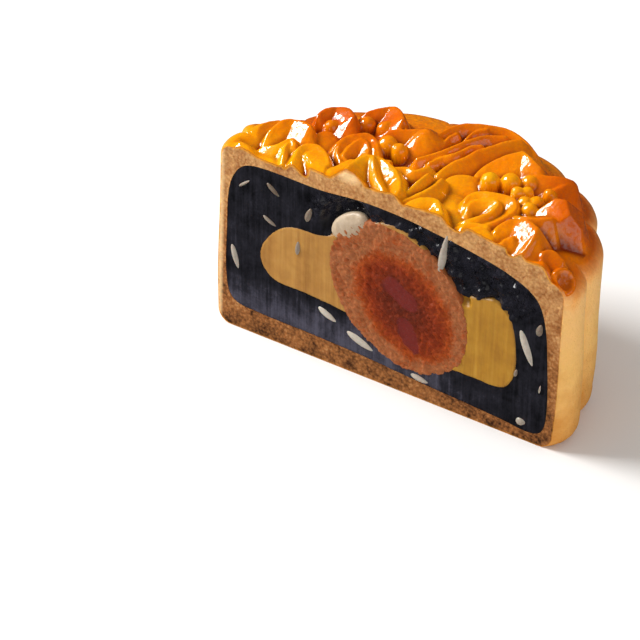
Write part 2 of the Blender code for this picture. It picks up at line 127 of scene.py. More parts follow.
# each softbox: name, direction from the cake, distance, side, power, colour, whether gloss shows it
SOFTBOXES = [
    ("key softbox", (-0.76, -0.20, 0.61), 0.9, 0.44, 11.1, (1.0, 0.99, 0.97), True),
    ("right panel", (0.93, -0.34, 0.08), 0.9, 1.2, 2.6, (1.0, 0.98, 0.96), False),
    ("right sheen", (0.93, -0.34, 0.08), 0.85, 1.1, 2.2, (1.0, 0.98, 0.96), True)]

for name, direction, distance, side, power, colour, in_gloss in SOFTBOXES:
    lamp = bpy.data.lights.new(name, "AREA")
    lamp.size, lamp.energy, lamp.color = side, power, colour
    holder = in_scene(name, lamp)
    holder.visible_glossy = in_gloss
    toward = Vector(direction).normalized()
    aimed = toward.to_track_quat("Z", "Y").to_matrix().to_4x4()
    holder.matrix_world = Matrix.Translation(AIM + toward * distance) @ aimed

world = bpy.data.worlds.new("white room")
bpy.context.scene.world = world
world.use_nodes = True
room = world.node_tree.nodes["Background"]
room.inputs["Color"].default_value = (1.0, 1.0, 1.0, 1.0)
rays = world.node_tree.nodes.new("ShaderNodeLightPath")
strength = world.node_tree.nodes.new("ShaderNodeMapRange")
strength.inputs["To Min"].default_value = ROOM_LIGHT
strength.inputs["To Max"].default_value = ROOM_IN_GLOSS
world.node_tree.links.new(rays.outputs["Is Glossy Ray"], strength.inputs["Value"])
world.node_tree.links.new(strength.outputs["Result"], room.inputs["Strength"])
bpy.context.scene.view_settings.view_transform = "Standard"

floor_mesh = bpy.data.meshes.new("floor")
corners = [(FLOOR_SIDE * a, FLOOR_SIDE * b, 0.0) for a, b in ((-1, -1), (1, -1), (1, 1), (-1, 1))]
floor_mesh.from_pydata(corners, [], [(0, 1, 2, 3)])
floor = in_scene("floor", floor_mesh)
floor_look = bpy.data.materials.new("pale floor")
floor_look.use_nodes = True
floor_shader = floor_look.node_tree.nodes["Principled BSDF"]
floor_shader.inputs["Base Color"].default_value = (FLOOR_GREY, FLOOR_GREY, FLOOR_GREY, 1.0)
floor_shader.inputs["Roughness"].default_value = FLOOR_ROUGHNESS
floor_mesh.materials.append(floor_look)
floor.visible_glossy = False
print("softboxes:", len(SOFTBOXES), "and a floor", 2.0 * FLOOR_SIDE, "m wide")

# %% [markdown]
# ## Formulas that nodes and arrays share
# The crust's wall is made by Geometry Nodes and its top by arrays, and both follow the same formulas.
# A Field is a value in a node tree: adding or multiplying Fields makes the Math nodes, so one Python
# formula works on a tree and on an array alike.

# %% Fields, steps and trees


def feed(tree, node, inputs):
    """Set a node's inputs by name or number; each is a plain value, a socket or a Field."""
    for key, value in inputs.items():
        source = value.socket if isinstance(value, Field) else value
        if isinstance(source, bpy.types.NodeSocket):
            tree.links.new(source, node.inputs[key])
        else:
            node.inputs[key].default_value = source


def step(tree, kind, inputs=None, **settings):
    """A node with its settings and inputs."""
    node = tree.nodes.new(kind)
    for key, value in settings.items():
        setattr(node, key, value)
    feed(tree, node, inputs or {})
    return node


class Field:
    """A value in a node tree. Arithmetic on it adds Math nodes."""

    def __init__(self, tree, socket):
        self.tree = tree
        self.socket = socket

    def math(self, operation, *others):
        """A Math node on this value and others."""
        inputs = dict(enumerate((self, *others)))
        return Field(self.tree, step(self.tree, "ShaderNodeMath", inputs, operation=operation).outputs[0])

    def __add__(self, other):
        return self.math("ADD", other)

    __radd__ = __add__

    def __sub__(self, other):
        return self.math("SUBTRACT", other)

    def __rsub__(self, other):
        return self.math("MULTIPLY", -1.0) + other

    def __mul__(self, other):
        return self.math("MULTIPLY", other)

    __rmul__ = __mul__

    def __truediv__(self, other):
        return self.math("DIVIDE", other)

    def __pow__(self, other):
        return self.math("POWER", other)


def clip01(value):
    """The value held between 0 and 1."""
    if isinstance(value, Field):
        return value.math("MAXIMUM", 0.0).math("MINIMUM", 1.0)
    return np.clip(value, 0.0, 1.0)


def exponent(value):
    """e to the power of the value."""
    return value.math("EXPONENT") if isinstance(value, Field) else np.exp(value)


SOCKETS = {"number": "NodeSocketFloat", "count": "NodeSocketInt", "colour": "NodeSocketColor",
           "vector": "NodeSocketVector", "shape": "NodeSocketGeometry", "material": "NodeSocketMaterial"}


def new_tree(kind, name, inputs, outputs):
    """A node group with named sockets: inputs as (name, kind, default) and outputs as (name, kind)."""
    tree = bpy.data.node_groups.new(name, kind)
    for label, sort, value in inputs:
        socket = tree.interface.new_socket(label, in_out="INPUT", socket_type=SOCKETS[sort])
        if value is not None:
            socket.default_value = value
    for label, sort in outputs:
        tree.interface.new_socket(label, in_out="OUTPUT", socket_type=SOCKETS[sort])
    return tree, tree.nodes.new("NodeGroupInput"), tree.nodes.new("NodeGroupOutput")


def grown_by_nodes(name, mesh, tree, **inputs):
    """The plain mesh object that a Geometry Nodes tree makes from a mesh, with the modifier gone."""
    source = in_scene(name, mesh)
    modifier = source.modifiers.new("nodes", "NODES")
    modifier.node_group = tree
    sockets = {item.name: item.identifier for item in tree.interface.items_tree if item.in_out == "INPUT"}
    for label, value in inputs.items():
        modifier[sockets[label.replace("_", " ")]] = value
    evaluated = source.evaluated_get(bpy.context.evaluated_depsgraph_get())
    plain = bpy.data.meshes.new_from_object(evaluated)
    source.modifiers.clear()
    source.data = plain
    plain.name = name
    return source


# %% [markdown]
# ## Unevenness
# Nothing in food is dead flat. Smooth lattice noise, added up over a few sizes, gives the wobble of the
# crust, the pores of its crumb, the drag of the knife and the grain of the yolk. A fixed seed keeps
# every run the same.

# %% Noise in arrays
LATTICE = 32


def lattice_noise(points, size, seed):
    """Smooth noise between -1 and 1 with bumps of about size, at points (N, 3)."""
    table = np.random.default_rng(seed).uniform(-1.0, 1.0, (LATTICE,) * 3)
    scaled = points / np.asarray(size, float)
    cell = np.floor(scaled).astype(int)
    share = scaled - cell
    share = share * share * (3.0 - 2.0 * share)
    total = np.zeros(len(points))
    for corner in np.ndindex(2, 2, 2):
        weight = np.prod(np.where(corner, share, 1.0 - share), axis=1)
        index = (cell + corner) % LATTICE
        total += weight * table[index[:, 0], index[:, 1], index[:, 2]]
    return total


def uneven(points, size, seed, octaves=3):
    """Noise over several octaves, each half the size and half the height of the one before."""
    size = np.asarray(size, float)
    total = sum(0.5 ** k * lattice_noise(points, size / 2.0 ** k, seed + k) for k in range(octaves))
    return total / (2.0 - 0.5 ** (octaves - 1))


# %% [markdown]
# ## Outlines at the cut
# Each layer is drawn by its outline on the cut plane, as the knife left it. The same points drive the
# solids. The yolk and the nut are plain ellipses.

# %% Outlines
PASTE_OUTLINE = [
    (-4.0, 4.6), (12.6, 3.5), (26.4, 2.7), (32.5, 2.1), (35.4, 3.2), (36.3, 8.0), (35.7, 18.0), (34.5, 27.1),
    (32.2, 32.0), (26.4, 35.0), (18.0, 36.9), (11.7, 37.8), (3.1, 38.8), (-6.0, 39.0), (-15.2, 38.2),
    (-29.1, 38.2), (-33.3, 36.8), (-35.8, 32.0), (-36.3, 22.0), (-36.2, 11.0), (-34.4, 6.2), (-28.0, 5.2),
    (-15.2, 5.0)]
PASTE_CENTRE = (0.0, 20.0)
PASTE_DEPTH = 36.0
PASTE_FLATNESS = 0.3
YELLOW_OUTLINE = [
    (-25.4, 14.6), (-18.0, 14.1), (-8.6, 13.2), (-2.0, 11.4), (6.0, 9.4), (15.0, 9.6), (20.4, 9.7),
    (26.2, 9.9), (28.6, 13.0), (28.6, 20.4), (26.9, 25.8), (23.7, 27.9), (19.2, 27.0), (15.4, 27.2),
    (10.6, 31.0), (6.6, 34.4), (1.0, 35.9), (-4.2, 34.7), (-8.6, 31.2), (-14.0, 28.3), (-21.9, 27.3),
    (-26.4, 23.6), (-28.2, 18.6)]
YELLOW_CENTRE = (2.0, 20.0)
YELLOW_DEPTH = 26.0
YOLK_CENTRE = (3.1, 20.7)
YOLK_LENGTH = 33.4
YOLK_WIDTH = 26.6
YOLK_TILT = -40.0
YOLK_DEPTH = 14.0
NUT_LENGTH = 9.4
NUT_WIDTH = 5.2
NUT_TILT = 38.0
NUT_DEPTH = 3.2
JOIN = 0.35
print("outline points:", len(PASTE_OUTLINE), "for the black paste,", len(YELLOW_OUTLINE), "for the yellow")

# %% [markdown]
# ## Curves through the outlines
# A smooth closed curve runs through the points of each outline, and a few helpers say which places lie
# inside it and how far they are from its edge.

# %% Outline curves


def closed_curve(points, count):
    """Even points along a smooth closed curve through the given (x, z) points."""
    dense = []
    total = len(points)
    for i in range(total):
        before, here, there, after = (Vector((*points[(i + k) % total], 0.0)) for k in (-1, 0, 1, 2))
        reach = (there - here).length / 3.0
        leave = here + (there - before).normalized() * reach
        arrive = there - (after - here).normalized() * reach
        dense += interpolate_bezier(here, leave, arrive, there, 13)[:-1]
    dense.append(dense[0])
    lengths = [0.0]
    for a, b in zip(dense, dense[1:]):
        lengths.append(lengths[-1] + (b - a).length)
    even = np.linspace(0.0, lengths[-1], count, endpoint=False)
    return np.stack([np.interp(even, lengths, [p[axis] for p in dense]) for axis in (0, 1)], 1)


def ellipse(centre, length, width, tilt, count):
    """Points round an ellipse whose long axis is tilt degrees above +X."""
    t = np.linspace(0.0, 2.0 * math.pi, count, endpoint=False)
    c, s = math.cos(math.radians(tilt)), math.sin(math.radians(tilt))
    u, v = 0.5 * length * np.cos(t), 0.5 * width * np.sin(t)
    return stacked(centre[0] + u * c - v * s, centre[1] + u * s + v * c)


def grown(outline, gap):
    """The anticlockwise outline pushed outward by gap."""
    tangent = np.roll(outline, -1, 0) - np.roll(outline, 1, 0)
    normal = stacked(tangent[:, 1], -tangent[:, 0])
    return outline + gap * normal / np.linalg.norm(normal, axis=1)[:, None]


def is_inside(points, outline):
    """Which (N, 2) points lie inside a closed outline."""
    inside = np.zeros(len(points), bool)
    for (ax, az), (bx, bz) in zip(outline, np.roll(outline, -1, 0)):
        if az == bz:
            continue
        crossing = ((az > points[:, 1]) != (bz > points[:, 1]))
        inside ^= crossing & (points[:, 0] < ax + (points[:, 1] - az) * (bx - ax) / (bz - az))
    return inside


def edge_distance(points, outline, closed=True):
    """Distance of (N, 2) points from an outline."""
    best = np.full(len(points), 1e9)
    ends = np.roll(outline, -1, 0) if closed else outline[1:]
    for a, b in zip(outline, ends):
        along = b - a
        t = clip01(((points - a) @ along) / max(along @ along, 1e-12))
        best = np.minimum(best, np.hypot(*(points - a - t[:, None] * along).T))
    return best


def hex_points(low, high, spacing):
    """Points of a hexagonal grid over the box from low to high."""
    rows = np.arange(low[1], high[1], spacing * 0.866)
    columns = np.arange(low[0], high[0], spacing)
    return np.concatenate([stacked(columns + (i % 2) * spacing / 2.0, row) for i, row in enumerate(rows)])


paste_curve = closed_curve(PASTE_OUTLINE, 240)
yellow_curve = closed_curve(YELLOW_OUTLINE, 180)
yolk_curve = ellipse(YOLK_CENTRE, YOLK_LENGTH, YOLK_WIDTH, YOLK_TILT, 140)
nut_curve = ellipse(NUT_CENTRE, NUT_LENGTH, NUT_WIDTH, NUT_TILT, 60)
print("curve points:", [len(curve) for curve in (paste_curve, yellow_curve, yolk_curve, nut_curve)])

# %% [markdown]
# ## Gathering a piece
# A piece is gathered stretch by stretch: rings of points, and flat regions that a Delaunay
# triangulation fills with evenly spaced points, so that relief has vertices to move wherever it is.
# Every point carries the masks that the finish reads later, such as how brown the crust is there and how much
# shade is painted into it.

# %% Shells


class Shell:
    """The points, faces and masks of one piece, in food millimetres."""

    def __init__(self, *masks):
        self.points = np.zeros((0, 3))
        self.masks = {name: np.zeros(0) for name in masks}
        self.faces = []

    def add(self, points, **masks):
        """Add points with their masks and return their numbers."""
        first = len(self.points)
        self.points = np.concatenate([self.points, points])
        for name, values in self.masks.items():
            new = np.broadcast_to(np.asarray(masks.get(name, 0.0), float), len(points))
            self.masks[name] = np.concatenate([values, new])
        return np.arange(first, len(self.points))

    def bridge(self, low, high, closed=True):
        """Quads between two rings of point numbers."""
        count = len(low)
        for i in range(count if closed else count - 1):
            j = (i + 1) % count
            self.faces.append((low[i], low[j], high[j], high[i]))

    def fan(self, ring, tip):
        """Triangles from a ring to one point."""
        for i in range(len(ring)):
            self.faces.append((ring[i], ring[(i + 1) % len(ring)], tip))

    def fill(self, border, plan, inside, raised, hole=None, **masks):
        """Triangulate a flat region.

        border and plan are the border's point numbers and flat places, inside the flat places of the
        points within, and raised(flat places) their points. hole is a second border of numbers and places.
        """
        flat = [Vector(p) for p in plan]
        count = len(flat)
        edges = [(i, (i + 1) % count) for i in range(count)]
        numbers = list(border)
        if hole is not None:
            numbers += list(hole[0])
            flat += [Vector(p) for p in hole[1]]
            edges += [(count + i, count + (i + 1) % len(hole[0])) for i in range(len(hole[0]))]
        numbers += list(self.add(raised(inside), **masks))
        flat += [Vector(p) for p in inside]
        made, _, triangles, origins, _, _ = delaunay_2d_cdt(flat, edges, [], 1, 1e-6)
        lookup = [numbers[origin[0]] for origin in origins]
        flat_made = np.array([tuple(p) for p in made])
        triangles = np.array([tuple(t) for t in triangles])
        if hole is not None:
            triangles = triangles[~is_inside(flat_made[triangles].mean(1), np.asarray(hole[1]))]
        self.faces += [tuple(lookup[i] for i in triangle) for triangle in triangles]

    def finished(self, name, looks, sharp=60.0):
        """The piece as an object in the frame, faces outward, smooth, with its material."""
        mesh = bpy.data.meshes.new(name)
        faces = [tuple(int(i) for i in face) for face in self.faces]
        mesh.from_pydata([tuple(p) for p in placed(self.points)], [], faces)
        for mask, values in self.masks.items():
            mesh.attributes.new(mask, "FLOAT", "POINT").data.foreach_set("value", values.astype(np.float32))
        bm = bmesh.new()
        bm.from_mesh(mesh)
        loose = [v for v in bm.verts if not v.link_faces]
        bmesh.ops.delete(bm, geom=loose, context="VERTS")
        bmesh.ops.recalc_face_normals(bm, faces=bm.faces[:])
        open_edges = sum(1 for edge in bm.edges if len(edge.link_faces) != 2)
        bm.to_mesh(mesh)
        bm.free()
        mesh.shade_smooth()
        mesh.set_sharp_from_angle(angle=math.radians(sharp))
        mesh.materials.append(looks)
        piece = in_scene(name, mesh)
        triangles = sum(len(polygon.vertices) - 2 for polygon in mesh.polygons)
        print(name, "has", triangles, "triangles and", open_edges, "open edges")
        return piece


# %% [markdown]
# ## Valleys and shoulder of the crust
# Between the flowers the top is a gently domed sheet of dough. It falls a little to the right and
# toward the wall, and droops at the corner where the knife pulled it down. The formula is written once
# and used by the wall's nodes and by the top's arrays.

# %% The valley formula
VALLEY_HEIGHT = 39.4
CORNER_DROOP = 3.0
EDGE_DROP = 1.9
LEFT_RISE = 2.4


def valley(x, y):
    """Height of the valleys over the plan (x, y), for Fields or arrays."""
    droop = clip01((x - 27.0) / 11.0) ** 2.0 * exponent(y / -9.0)
    edge = clip01(((x * x + y * y) ** 0.5 - 29.0) / 9.0) ** 1.5 * clip01(y / 9.0)
    rise = exponent((((x + 37.5) / 3.0) ** 2.0 + ((y - 8.0) / 5.0) ** 2.0) * -1.0)
    return VALLEY_HEIGHT - 0.030 * x - CORNER_DROOP * droop - EDGE_DROP * edge + LEFT_RISE * rise


# %% [markdown]
# ## Relief of flowers and leaf
# The carved mould left two flowers, a ribbed leaf and some stems. Nearly every form is a crest: a smooth
# path whose height falls gently on its inner side, which makes the scooped face of a petal, and steeply
# on its outer side. Where an arched crest meets its own other half, a crease appears by itself.

# %% Relief forms
# each crest: slope on the right of its path, slope on the left, rounding, path of (x, y, height)
CRESTS = [
    # left flower
    (0.95, 2.4, 0.35, [(-31.5, 5.6, 0.7), (-31.3, 6.4, 2.2), (-30.9, 8.0, 3.1), (-30.3, 9.4, 3.8),
        (-29.4, 10.5, 3.9), (-28.4, 11.0, 3.7)]),
    (0.80, 2.4, 0.35, [(-28.4, 11.0, 3.7), (-26.4, 10.9, 4.0), (-24.3, 10.3, 4.3)]),
    (0.80, 2.4, 0.35, [(-24.3, 10.3, 4.3), (-23.1, 9.6, 3.3), (-23.0, 9.0, 1.5)]),
    (1.00, 2.4, 0.35, [(-25.5, 15.0, 1.1), (-26.3, 15.6, 3.0), (-26.1, 17.5, 3.9), (-25.1, 18.8, 4.2),
        (-24.5, 19.8, 4.0)]),
    (0.80, 2.4, 0.35, [(-24.5, 19.8, 4.0), (-23.0, 19.8, 4.4), (-21.4, 19.4, 4.7), (-19.3, 18.0, 4.7)]),
    (0.80, 2.4, 0.35, [(-19.3, 18.0, 4.7), (-18.4, 17.5, 3.4), (-18.4, 17.5, 1.8)]),
    (1.00, 2.4, 0.35, [(-19.4, 20.1, 1.8), (-19.5, 21.3, 2.9), (-18.4, 22.8, 3.9), (-16.8, 24.2, 4.4),
        (-15.6, 25.5, 4.5)]),
    (0.80, 2.4, 0.35, [(-15.6, 25.5, 4.5), (-14.2, 25.1, 5.0), (-12.4, 23.9, 5.2), (-10.8, 22.2, 5.2)]),
    (0.80, 2.4, 0.35, [(-10.8, 22.2, 5.2), (-10.0, 21.8, 3.9), (-10.1, 21.8, 2.5)]),
    (0.95, 1.6, 0.40, [(-12.1, 15.7, 1.7), (-12.2, 16.9, 2.8), (-11.6, 18.6, 3.6), (-9.6, 20.1, 4.1),
        (-7.0, 21.6, 4.5), (-5.6, 22.0, 4.7)]),
    (0.80, 0.8, 0.90, [(-5.4, 21.7, 4.9), (-5.8, 20.6, 4.2), (-5.9, 19.3, 3.2), (-6.4, 17.9, 2.1)]),
    (0.55, 2.2, 0.35, [(-23.6, 9.0, 1.5), (-23.3, 10.1, 2.3), (-22.6, 11.4, 2.8), (-21.3, 12.4, 2.9),
        (-19.7, 12.4, 2.2), (-18.7, 11.8, 1.3)]),
    (0.80, 1.6, 0.35, [(-30.2, 3.1, 0.7), (-28.1, 3.9, 1.5), (-27.1, 5.0, 2.1), (-26.2, 6.4, 2.5),
        (-24.7, 5.6, 2.3)]),
    (1.20, 1.6, 0.30, [(-24.3, 0.5, 0.7), (-25.0, 2.0, 1.5), (-25.9, 3.8, 2.0), (-26.0, 5.1, 2.2)]),
    (0.70, 1.9, 0.40, [(-22.1, 0.6, 1.8), (-22.8, 2.9, 2.3), (-22.9, 4.7, 2.8), (-22.1, 6.1, 3.0),
        (-20.5, 6.7, 3.1), (-18.6, 6.2, 2.9), (-16.6, 4.6, 2.7), (-15.6, 3.3, 2.4)]),
    (0.06, 1.8, 0.40, [(-20.6, 3.0, 2.0), (-21.1, 4.0, 2.3), (-20.4, 5.0, 2.5), (-19.1, 5.5, 2.5),
        (-17.4, 4.5, 2.5), (-15.7, 2.9, 2.3)]),
    (0.12, 1.0, 0.50, [(-15.3, 0.4, 1.8), (-14.3, 2.6, 2.2), (-13.5, 4.8, 2.4), (-12.9, 6.7, 2.7)]),
    # shells in the left flower's heart
    (0.80, 2.2, 0.40, [(-18.3, 7.6, 1.1), (-18.5, 9.1, 1.8), (-18.1, 10.9, 2.8), (-17.4, 13.0, 3.3),
        (-16.0, 14.3, 3.6), (-14.7, 15.3, 3.8), (-12.9, 15.1, 3.5), (-11.2, 13.7, 3.1), (-9.5, 11.7, 1.8)]),
    (1.00, 2.0, 0.30, [(-14.9, 6.5, 1.4), (-17.1, 8.5, 2.0), (-17.7, 10.0, 2.4)]),
    (0.95, 2.2, 0.35, [(-14.6, 7.9, 1.4), (-15.7, 8.4, 1.8), (-15.9, 10.1, 2.4), (-15.6, 11.7, 3.0),
        (-14.7, 13.2, 3.5), (-13.4, 13.3, 3.4), (-12.3, 12.2, 2.9), (-11.4, 10.4, 2.4)]),
    (1.50, 1.5, 0.30, [(-12.6, 13.9, 3.1), (-11.4, 12.8, 2.8), (-10.4, 11.3, 2.1)]),
    # petal that the cut runs through
    (0.75, 2.2, 0.45, [(-8.9, -2.7, 5.5), (-10.0, 0.9, 5.1), (-10.2, 3.2, 5.1), (-10.1, 5.2, 5.1),
        (-9.3, 6.9, 5.1)]),
    (0.95, 1.8, 0.40, [(-9.3, 6.9, 5.1), (-7.9, 7.5, 5.1), (-6.9, 7.8, 4.9)]),
    (0.80, 1.8, 0.40, [(-6.9, 7.8, 4.9), (-5.0, 7.2, 4.9), (-2.6, 6.2, 4.8)]),
    (0.70, 1.5, 0.45, [(-2.6, 6.2, 4.8), (-1.0, 5.0, 4.2), (0.9, 2.1, 3.9)]),
    (1.50, 0.9, 0.30, [(-8.0, 6.7, 5.3), (-6.5, 4.7, 4.6), (-4.4, 2.5, 4.1), (-1.7, 0.4, 3.7)]),
    (0.90, 0.9, 0.40, [(-9.0, -0.8, 5.6), (-7.6, -0.8, 4.8), (-6.0, -0.7, 3.4), (-3.7, -0.6, 3.4),
        (-1.4, -0.6, 3.4), (0.3, -0.5, 4.0), (1.6, -0.4, 3.2)]),
    # stems
    (1.60, 1.9, 0.45, [(1.4, 1.5, 2.6), (1.6, 4.4, 2.9), (1.8, 7.2, 3.4), (1.9, 10.5, 3.6)]),
    (1.50, 1.6, 0.60, [(2.1, 0.4, 2.3), (3.2, 2.9, 2.8), (4.4, 5.2, 3.3), (5.0, 7.9, 3.5),
        (4.7, 11.0, 3.2)]),
    (1.30, 1.6, 0.45, [(-5.0, 9.6, 2.6), (-3.1, 10.8, 2.8), (-1.0, 10.7, 3.0), (0.5, 13.0, 3.4)]),
    (0.30, 0.3, 2.00, [(5.9, 11.7, 1.2), (9.1, 8.3, 1.2), (12.1, 4.5, 1.0), (13.9, 0.9, 0.6)]),
    # curl at the cut
    (0.70, 1.6, 0.40, [(3.5, -0.1, 2.4), (4.0, 1.1, 3.0), (5.3, 2.3, 3.6), (6.9, 3.2, 3.8), (8.4, 3.3, 3.8),
        (10.0, 1.8, 3.5), (11.6, 0.3, 2.6), (12.2, -0.0, 1.3)]),
    (1.00, 1.2, 0.30, [(3.6, 0.1, 2.5), (5.7, -0.0, 2.7), (7.8, 0.1, 3.0), (9.8, 0.3, 3.3),
        (11.0, 0.2, 3.2)]),
    # pad behind the stems
    (0.45, 2.0, 0.40, [(4.6, 12.5, 1.9), (5.1, 13.6, 2.5), (6.3, 14.7, 2.8), (7.9, 15.7, 2.8),
        (8.8, 16.3, 2.4)]),
    # leaf: its border, then its ribs
    (1.70, 2.0, 0.50, [(-4.1, 21.3, 2.5), (-4.1, 23.0, 3.4), (-3.1, 26.3, 4.0), (-1.6, 28.4, 4.4),
        (0.2, 29.8, 4.6), (3.0, 31.3, 4.8), (5.5, 32.4, 4.9), (8.4, 32.6, 4.7), (11.0, 32.2, 4.0),
        (13.3, 31.4, 3.0)]),
    (1.70, 2.0, 0.30, [(-1.6, 21.9, 2.5), (-2.1, 23.4, 2.9), (-2.0, 24.9, 3.3), (-1.3, 26.2, 3.7)]),
    (1.70, 2.0, 0.30, [(1.1, 25.4, 3.4), (1.1, 27.3, 3.7), (1.7, 28.8, 4.1), (3.0, 30.2, 4.4)]),
    (1.70, 1.9, 0.35, [(-3.3, 15.2, 2.6), (-1.8, 17.5, 2.9), (-0.2, 19.7, 3.4), (1.1, 22.4, 3.8),
        (2.5, 25.3, 4.2), (4.3, 27.9, 4.4), (7.4, 29.9, 4.6)]),
    (1.60, 1.8, 0.35, [(-0.8, 15.6, 2.5), (0.2, 18.0, 2.9), (1.9, 19.6, 3.4), (2.8, 21.9, 3.6),
        (3.6, 23.4, 4.0), (5.1, 24.7, 4.2)]),
    (0.90, 1.9, 0.45, [(2.5, 13.1, 2.5), (2.9, 15.4, 3.0), (3.6, 17.6, 3.5), (4.7, 19.8, 3.8),
        (5.7, 22.6, 4.3), (6.7, 24.3, 4.4), (8.6, 28.3, 4.6), (10.1, 30.7, 4.8)]),
    # tall petal with a peak
    (0.60, 2.6, 0.40, [(10.4, 14.0, 1.5), (8.9, 16.1, 2.2), (8.6, 17.6, 2.9), (9.2, 19.4, 3.7),
        (10.1, 21.2, 4.4), (11.7, 23.0, 5.3), (13.2, 24.2, 5.8), (13.9, 25.0, 6.0)]),
    (0.83, 1.2, 0.30, [(13.9, 25.0, 6.0), (16.5, 23.8, 5.9), (19.0, 23.0, 5.4)]),
    (0.80, 1.2, 0.30, [(19.0, 23.0, 5.4), (19.6, 23.0, 3.9)]),
    # shells in the right flower's heart
    (0.80, 2.0, 0.50, [(11.8, 7.0, 2.2), (11.5, 8.5, 2.9), (12.0, 9.9, 3.5), (13.3, 11.0, 3.8),
        (15.6, 11.5, 4.2), (17.9, 12.1, 4.3), (19.8, 11.9, 4.3), (21.0, 10.7, 4.0), (21.4, 8.9, 3.7),
        (20.8, 6.6, 3.3), (19.8, 4.5, 2.9), (18.3, 2.7, 2.6), (16.2, 2.2, 2.3), (15.2, 1.4, 1.9)]),
    (1.00, 1.6, 0.45, [(13.4, 5.6, 2.0), (13.0, 7.2, 2.8), (13.5, 8.4, 3.3), (14.9, 9.4, 3.6),
        (16.7, 9.9, 4.0), (18.0, 9.2, 3.9), (18.1, 6.7, 3.5), (17.3, 5.0, 3.2), (16.0, 3.7, 2.7),
        (14.8, 2.7, 2.1)]),
    # right flower
    (0.10, 2.0, 0.30, [(15.1, -0.2, 0.7), (16.0, -0.6, 1.8), (17.2, 0.2, 2.2), (18.8, 0.2, 2.4),
        (19.4, 0.4, 1.8)]),
    (0.90, 1.4, 0.40, [(16.6, -0.2, 2.5), (17.5, 0.4, 2.9), (18.8, 1.2, 3.1), (20.2, 1.4, 2.9),
        (21.6, 1.1, 2.3)]),
    (1.00, 1.4, 0.35, [(15.2, 1.0, 2.0), (15.7, 1.9, 2.5), (17.5, 2.6, 2.7), (19.3, 2.9, 2.9)]),
    (0.75, 2.0, 0.45, [(21.5, 1.5, 2.2), (21.4, 2.5, 2.9), (21.6, 3.9, 3.5), (22.5, 5.3, 4.1),
        (23.8, 6.2, 4.4), (25.7, 6.4, 4.8)]),
    (0.80, 1.6, 0.35, [(25.8, 6.4, 5.0), (27.1, 5.9, 5.0), (28.6, 5.3, 4.9)]),
    (1.00, 1.8, 0.40, [(28.6, 5.3, 4.9), (29.0, 3.4, 4.0), (28.8, 1.2, 2.6), (28.3, 0.1, 1.7)]),
    (1.20, 1.6, 0.35, [(21.9, 0.2, 0.9), (22.7, 0.3, 1.5), (23.9, 0.5, 2.2), (24.3, 1.7, 2.7),
        (25.1, 2.3, 3.2)]),
    (1.00, 1.8, 0.35, [(31.6, 1.6, 1.6), (31.5, 2.4, 2.5), (32.1, 3.6, 3.0), (33.4, 4.0, 3.1),
        (35.2, 3.9, 2.8)]),
    (0.90, 1.2, 0.35, [(28.0, -0.1, 1.1), (29.4, 0.0, 1.0), (31.1, 0.3, 1.4), (32.7, 0.7, 2.2)]),
    (0.85, 1.6, 0.50, [(16.7, 19.6, 3.0), (17.4, 20.2, 3.8), (18.7, 21.3, 4.3), (20.5, 22.1, 4.7),
        (22.6, 23.0, 5.1), (24.1, 23.7, 5.3), (25.2, 24.3, 5.2)]),
    (0.80, 1.1, 0.40, [(25.2, 24.3, 5.2), (24.5, 21.4, 4.4), (23.6, 19.6, 3.7), (23.0, 18.8, 2.9)]),
    (2.00, 0.6, 0.30, [(23.5, 7.5, 4.0), (25.2, 7.8, 4.4), (27.2, 8.5, 4.6), (29.0, 9.7, 4.9)]),
    # rims at the left end
    (0.50, 0.9, 0.80, [(-37.8, 1.1, -0.7), (-38.3, 4.6, 0.7), (-37.2, 7.7, 1.7), (-35.3, 10.8, 1.8),
        (-34.0, 13.0, 1.6)]),
    (0.80, 0.8, 0.35, [(-36.8, -0.3, -1.1), (-35.8, 0.2, 0.4), (-34.0, 1.0, 1.2), (-32.1, 0.7, 1.0),
        (-29.9, 0.2, 0.1), (-27.3, -0.1, -0.3), (-24.9, 0.3, -0.0), (-24.0, 0.9, 0.5)]),
]
print("crests:", len(CRESTS), "with", sum(len(path) for *_, path in CRESTS), "points")

# %% [markdown]
# ## Beads and planes
# Beads are domes, and one tall petal is cut like a gem by a few planes. Each form, and each crest too,
# is a height over the plan.

# %% Heights of the forms
# each bead: x, y, height of its middle, radius
BEADS = [
    (-22.9, 15.5, 1.7, 1.5), (-20.0, 17.1, 1.8, 1.8), (-17.6, 20.0, 2.0, 1.8), (-14.0, 20.6, 2.1, 1.7),
    (-10.4, 16.1, 2.1, 2.0), (-7.7, 15.8, 1.9, 1.7), (12.2, 16.1, 2.7, 2.0), (15.6, 17.9, 2.8, 2.1),
    (18.5, 20.0, 2.9, 1.7), (18.5, 15.5, 2.9, 1.5), (19.9, 16.7, 2.9, 1.4), (23.7, 18.5, 3.1, 1.4),
    (21.2, 13.6, 2.8, 1.5), (23.0, 14.8, 2.8, 1.6), (23.2, 12.0, 2.7, 1.7)]
# each plane: a point (x, y, height) on it, the direction it falls in, its slope
GEM_PLANES = [
    (27.9, 14.5, 6.5, -110.0, 0.78), (28.1, 9.5, 4.8, -55.0, 2.4), (32.1, 12.6, 5.3, 25.0, 0.85),
    (27.9, 14.5, 6.5, 110.0, 1.3), (25.2, 10.4, 4.4, 175.0, 1.2)]
# each dip: x, y, depth, spread
DIPS = [(-32.4, 4.8, 1.7, 2.6)]
REACH = 6.0


def smooth_path(path):
    """Close points along a smooth open curve through (x, y, height) points."""
    knots = [Vector(p) for p in path]
    knots = [2.0 * knots[0] - knots[1], *knots, 2.0 * knots[-1] - knots[-2]]
    dense = []
    for before, here, there, after in zip(knots, knots[1:], knots[2:], knots[3:]):
        leave, arrive = here + (there - before) / 6.0, there - (after - here) / 6.0
        dense += interpolate_bezier(here, leave, arrive, there, 6)[:-1]
    return np.array([tuple(p) for p in dense] + [tuple(path[-1])])


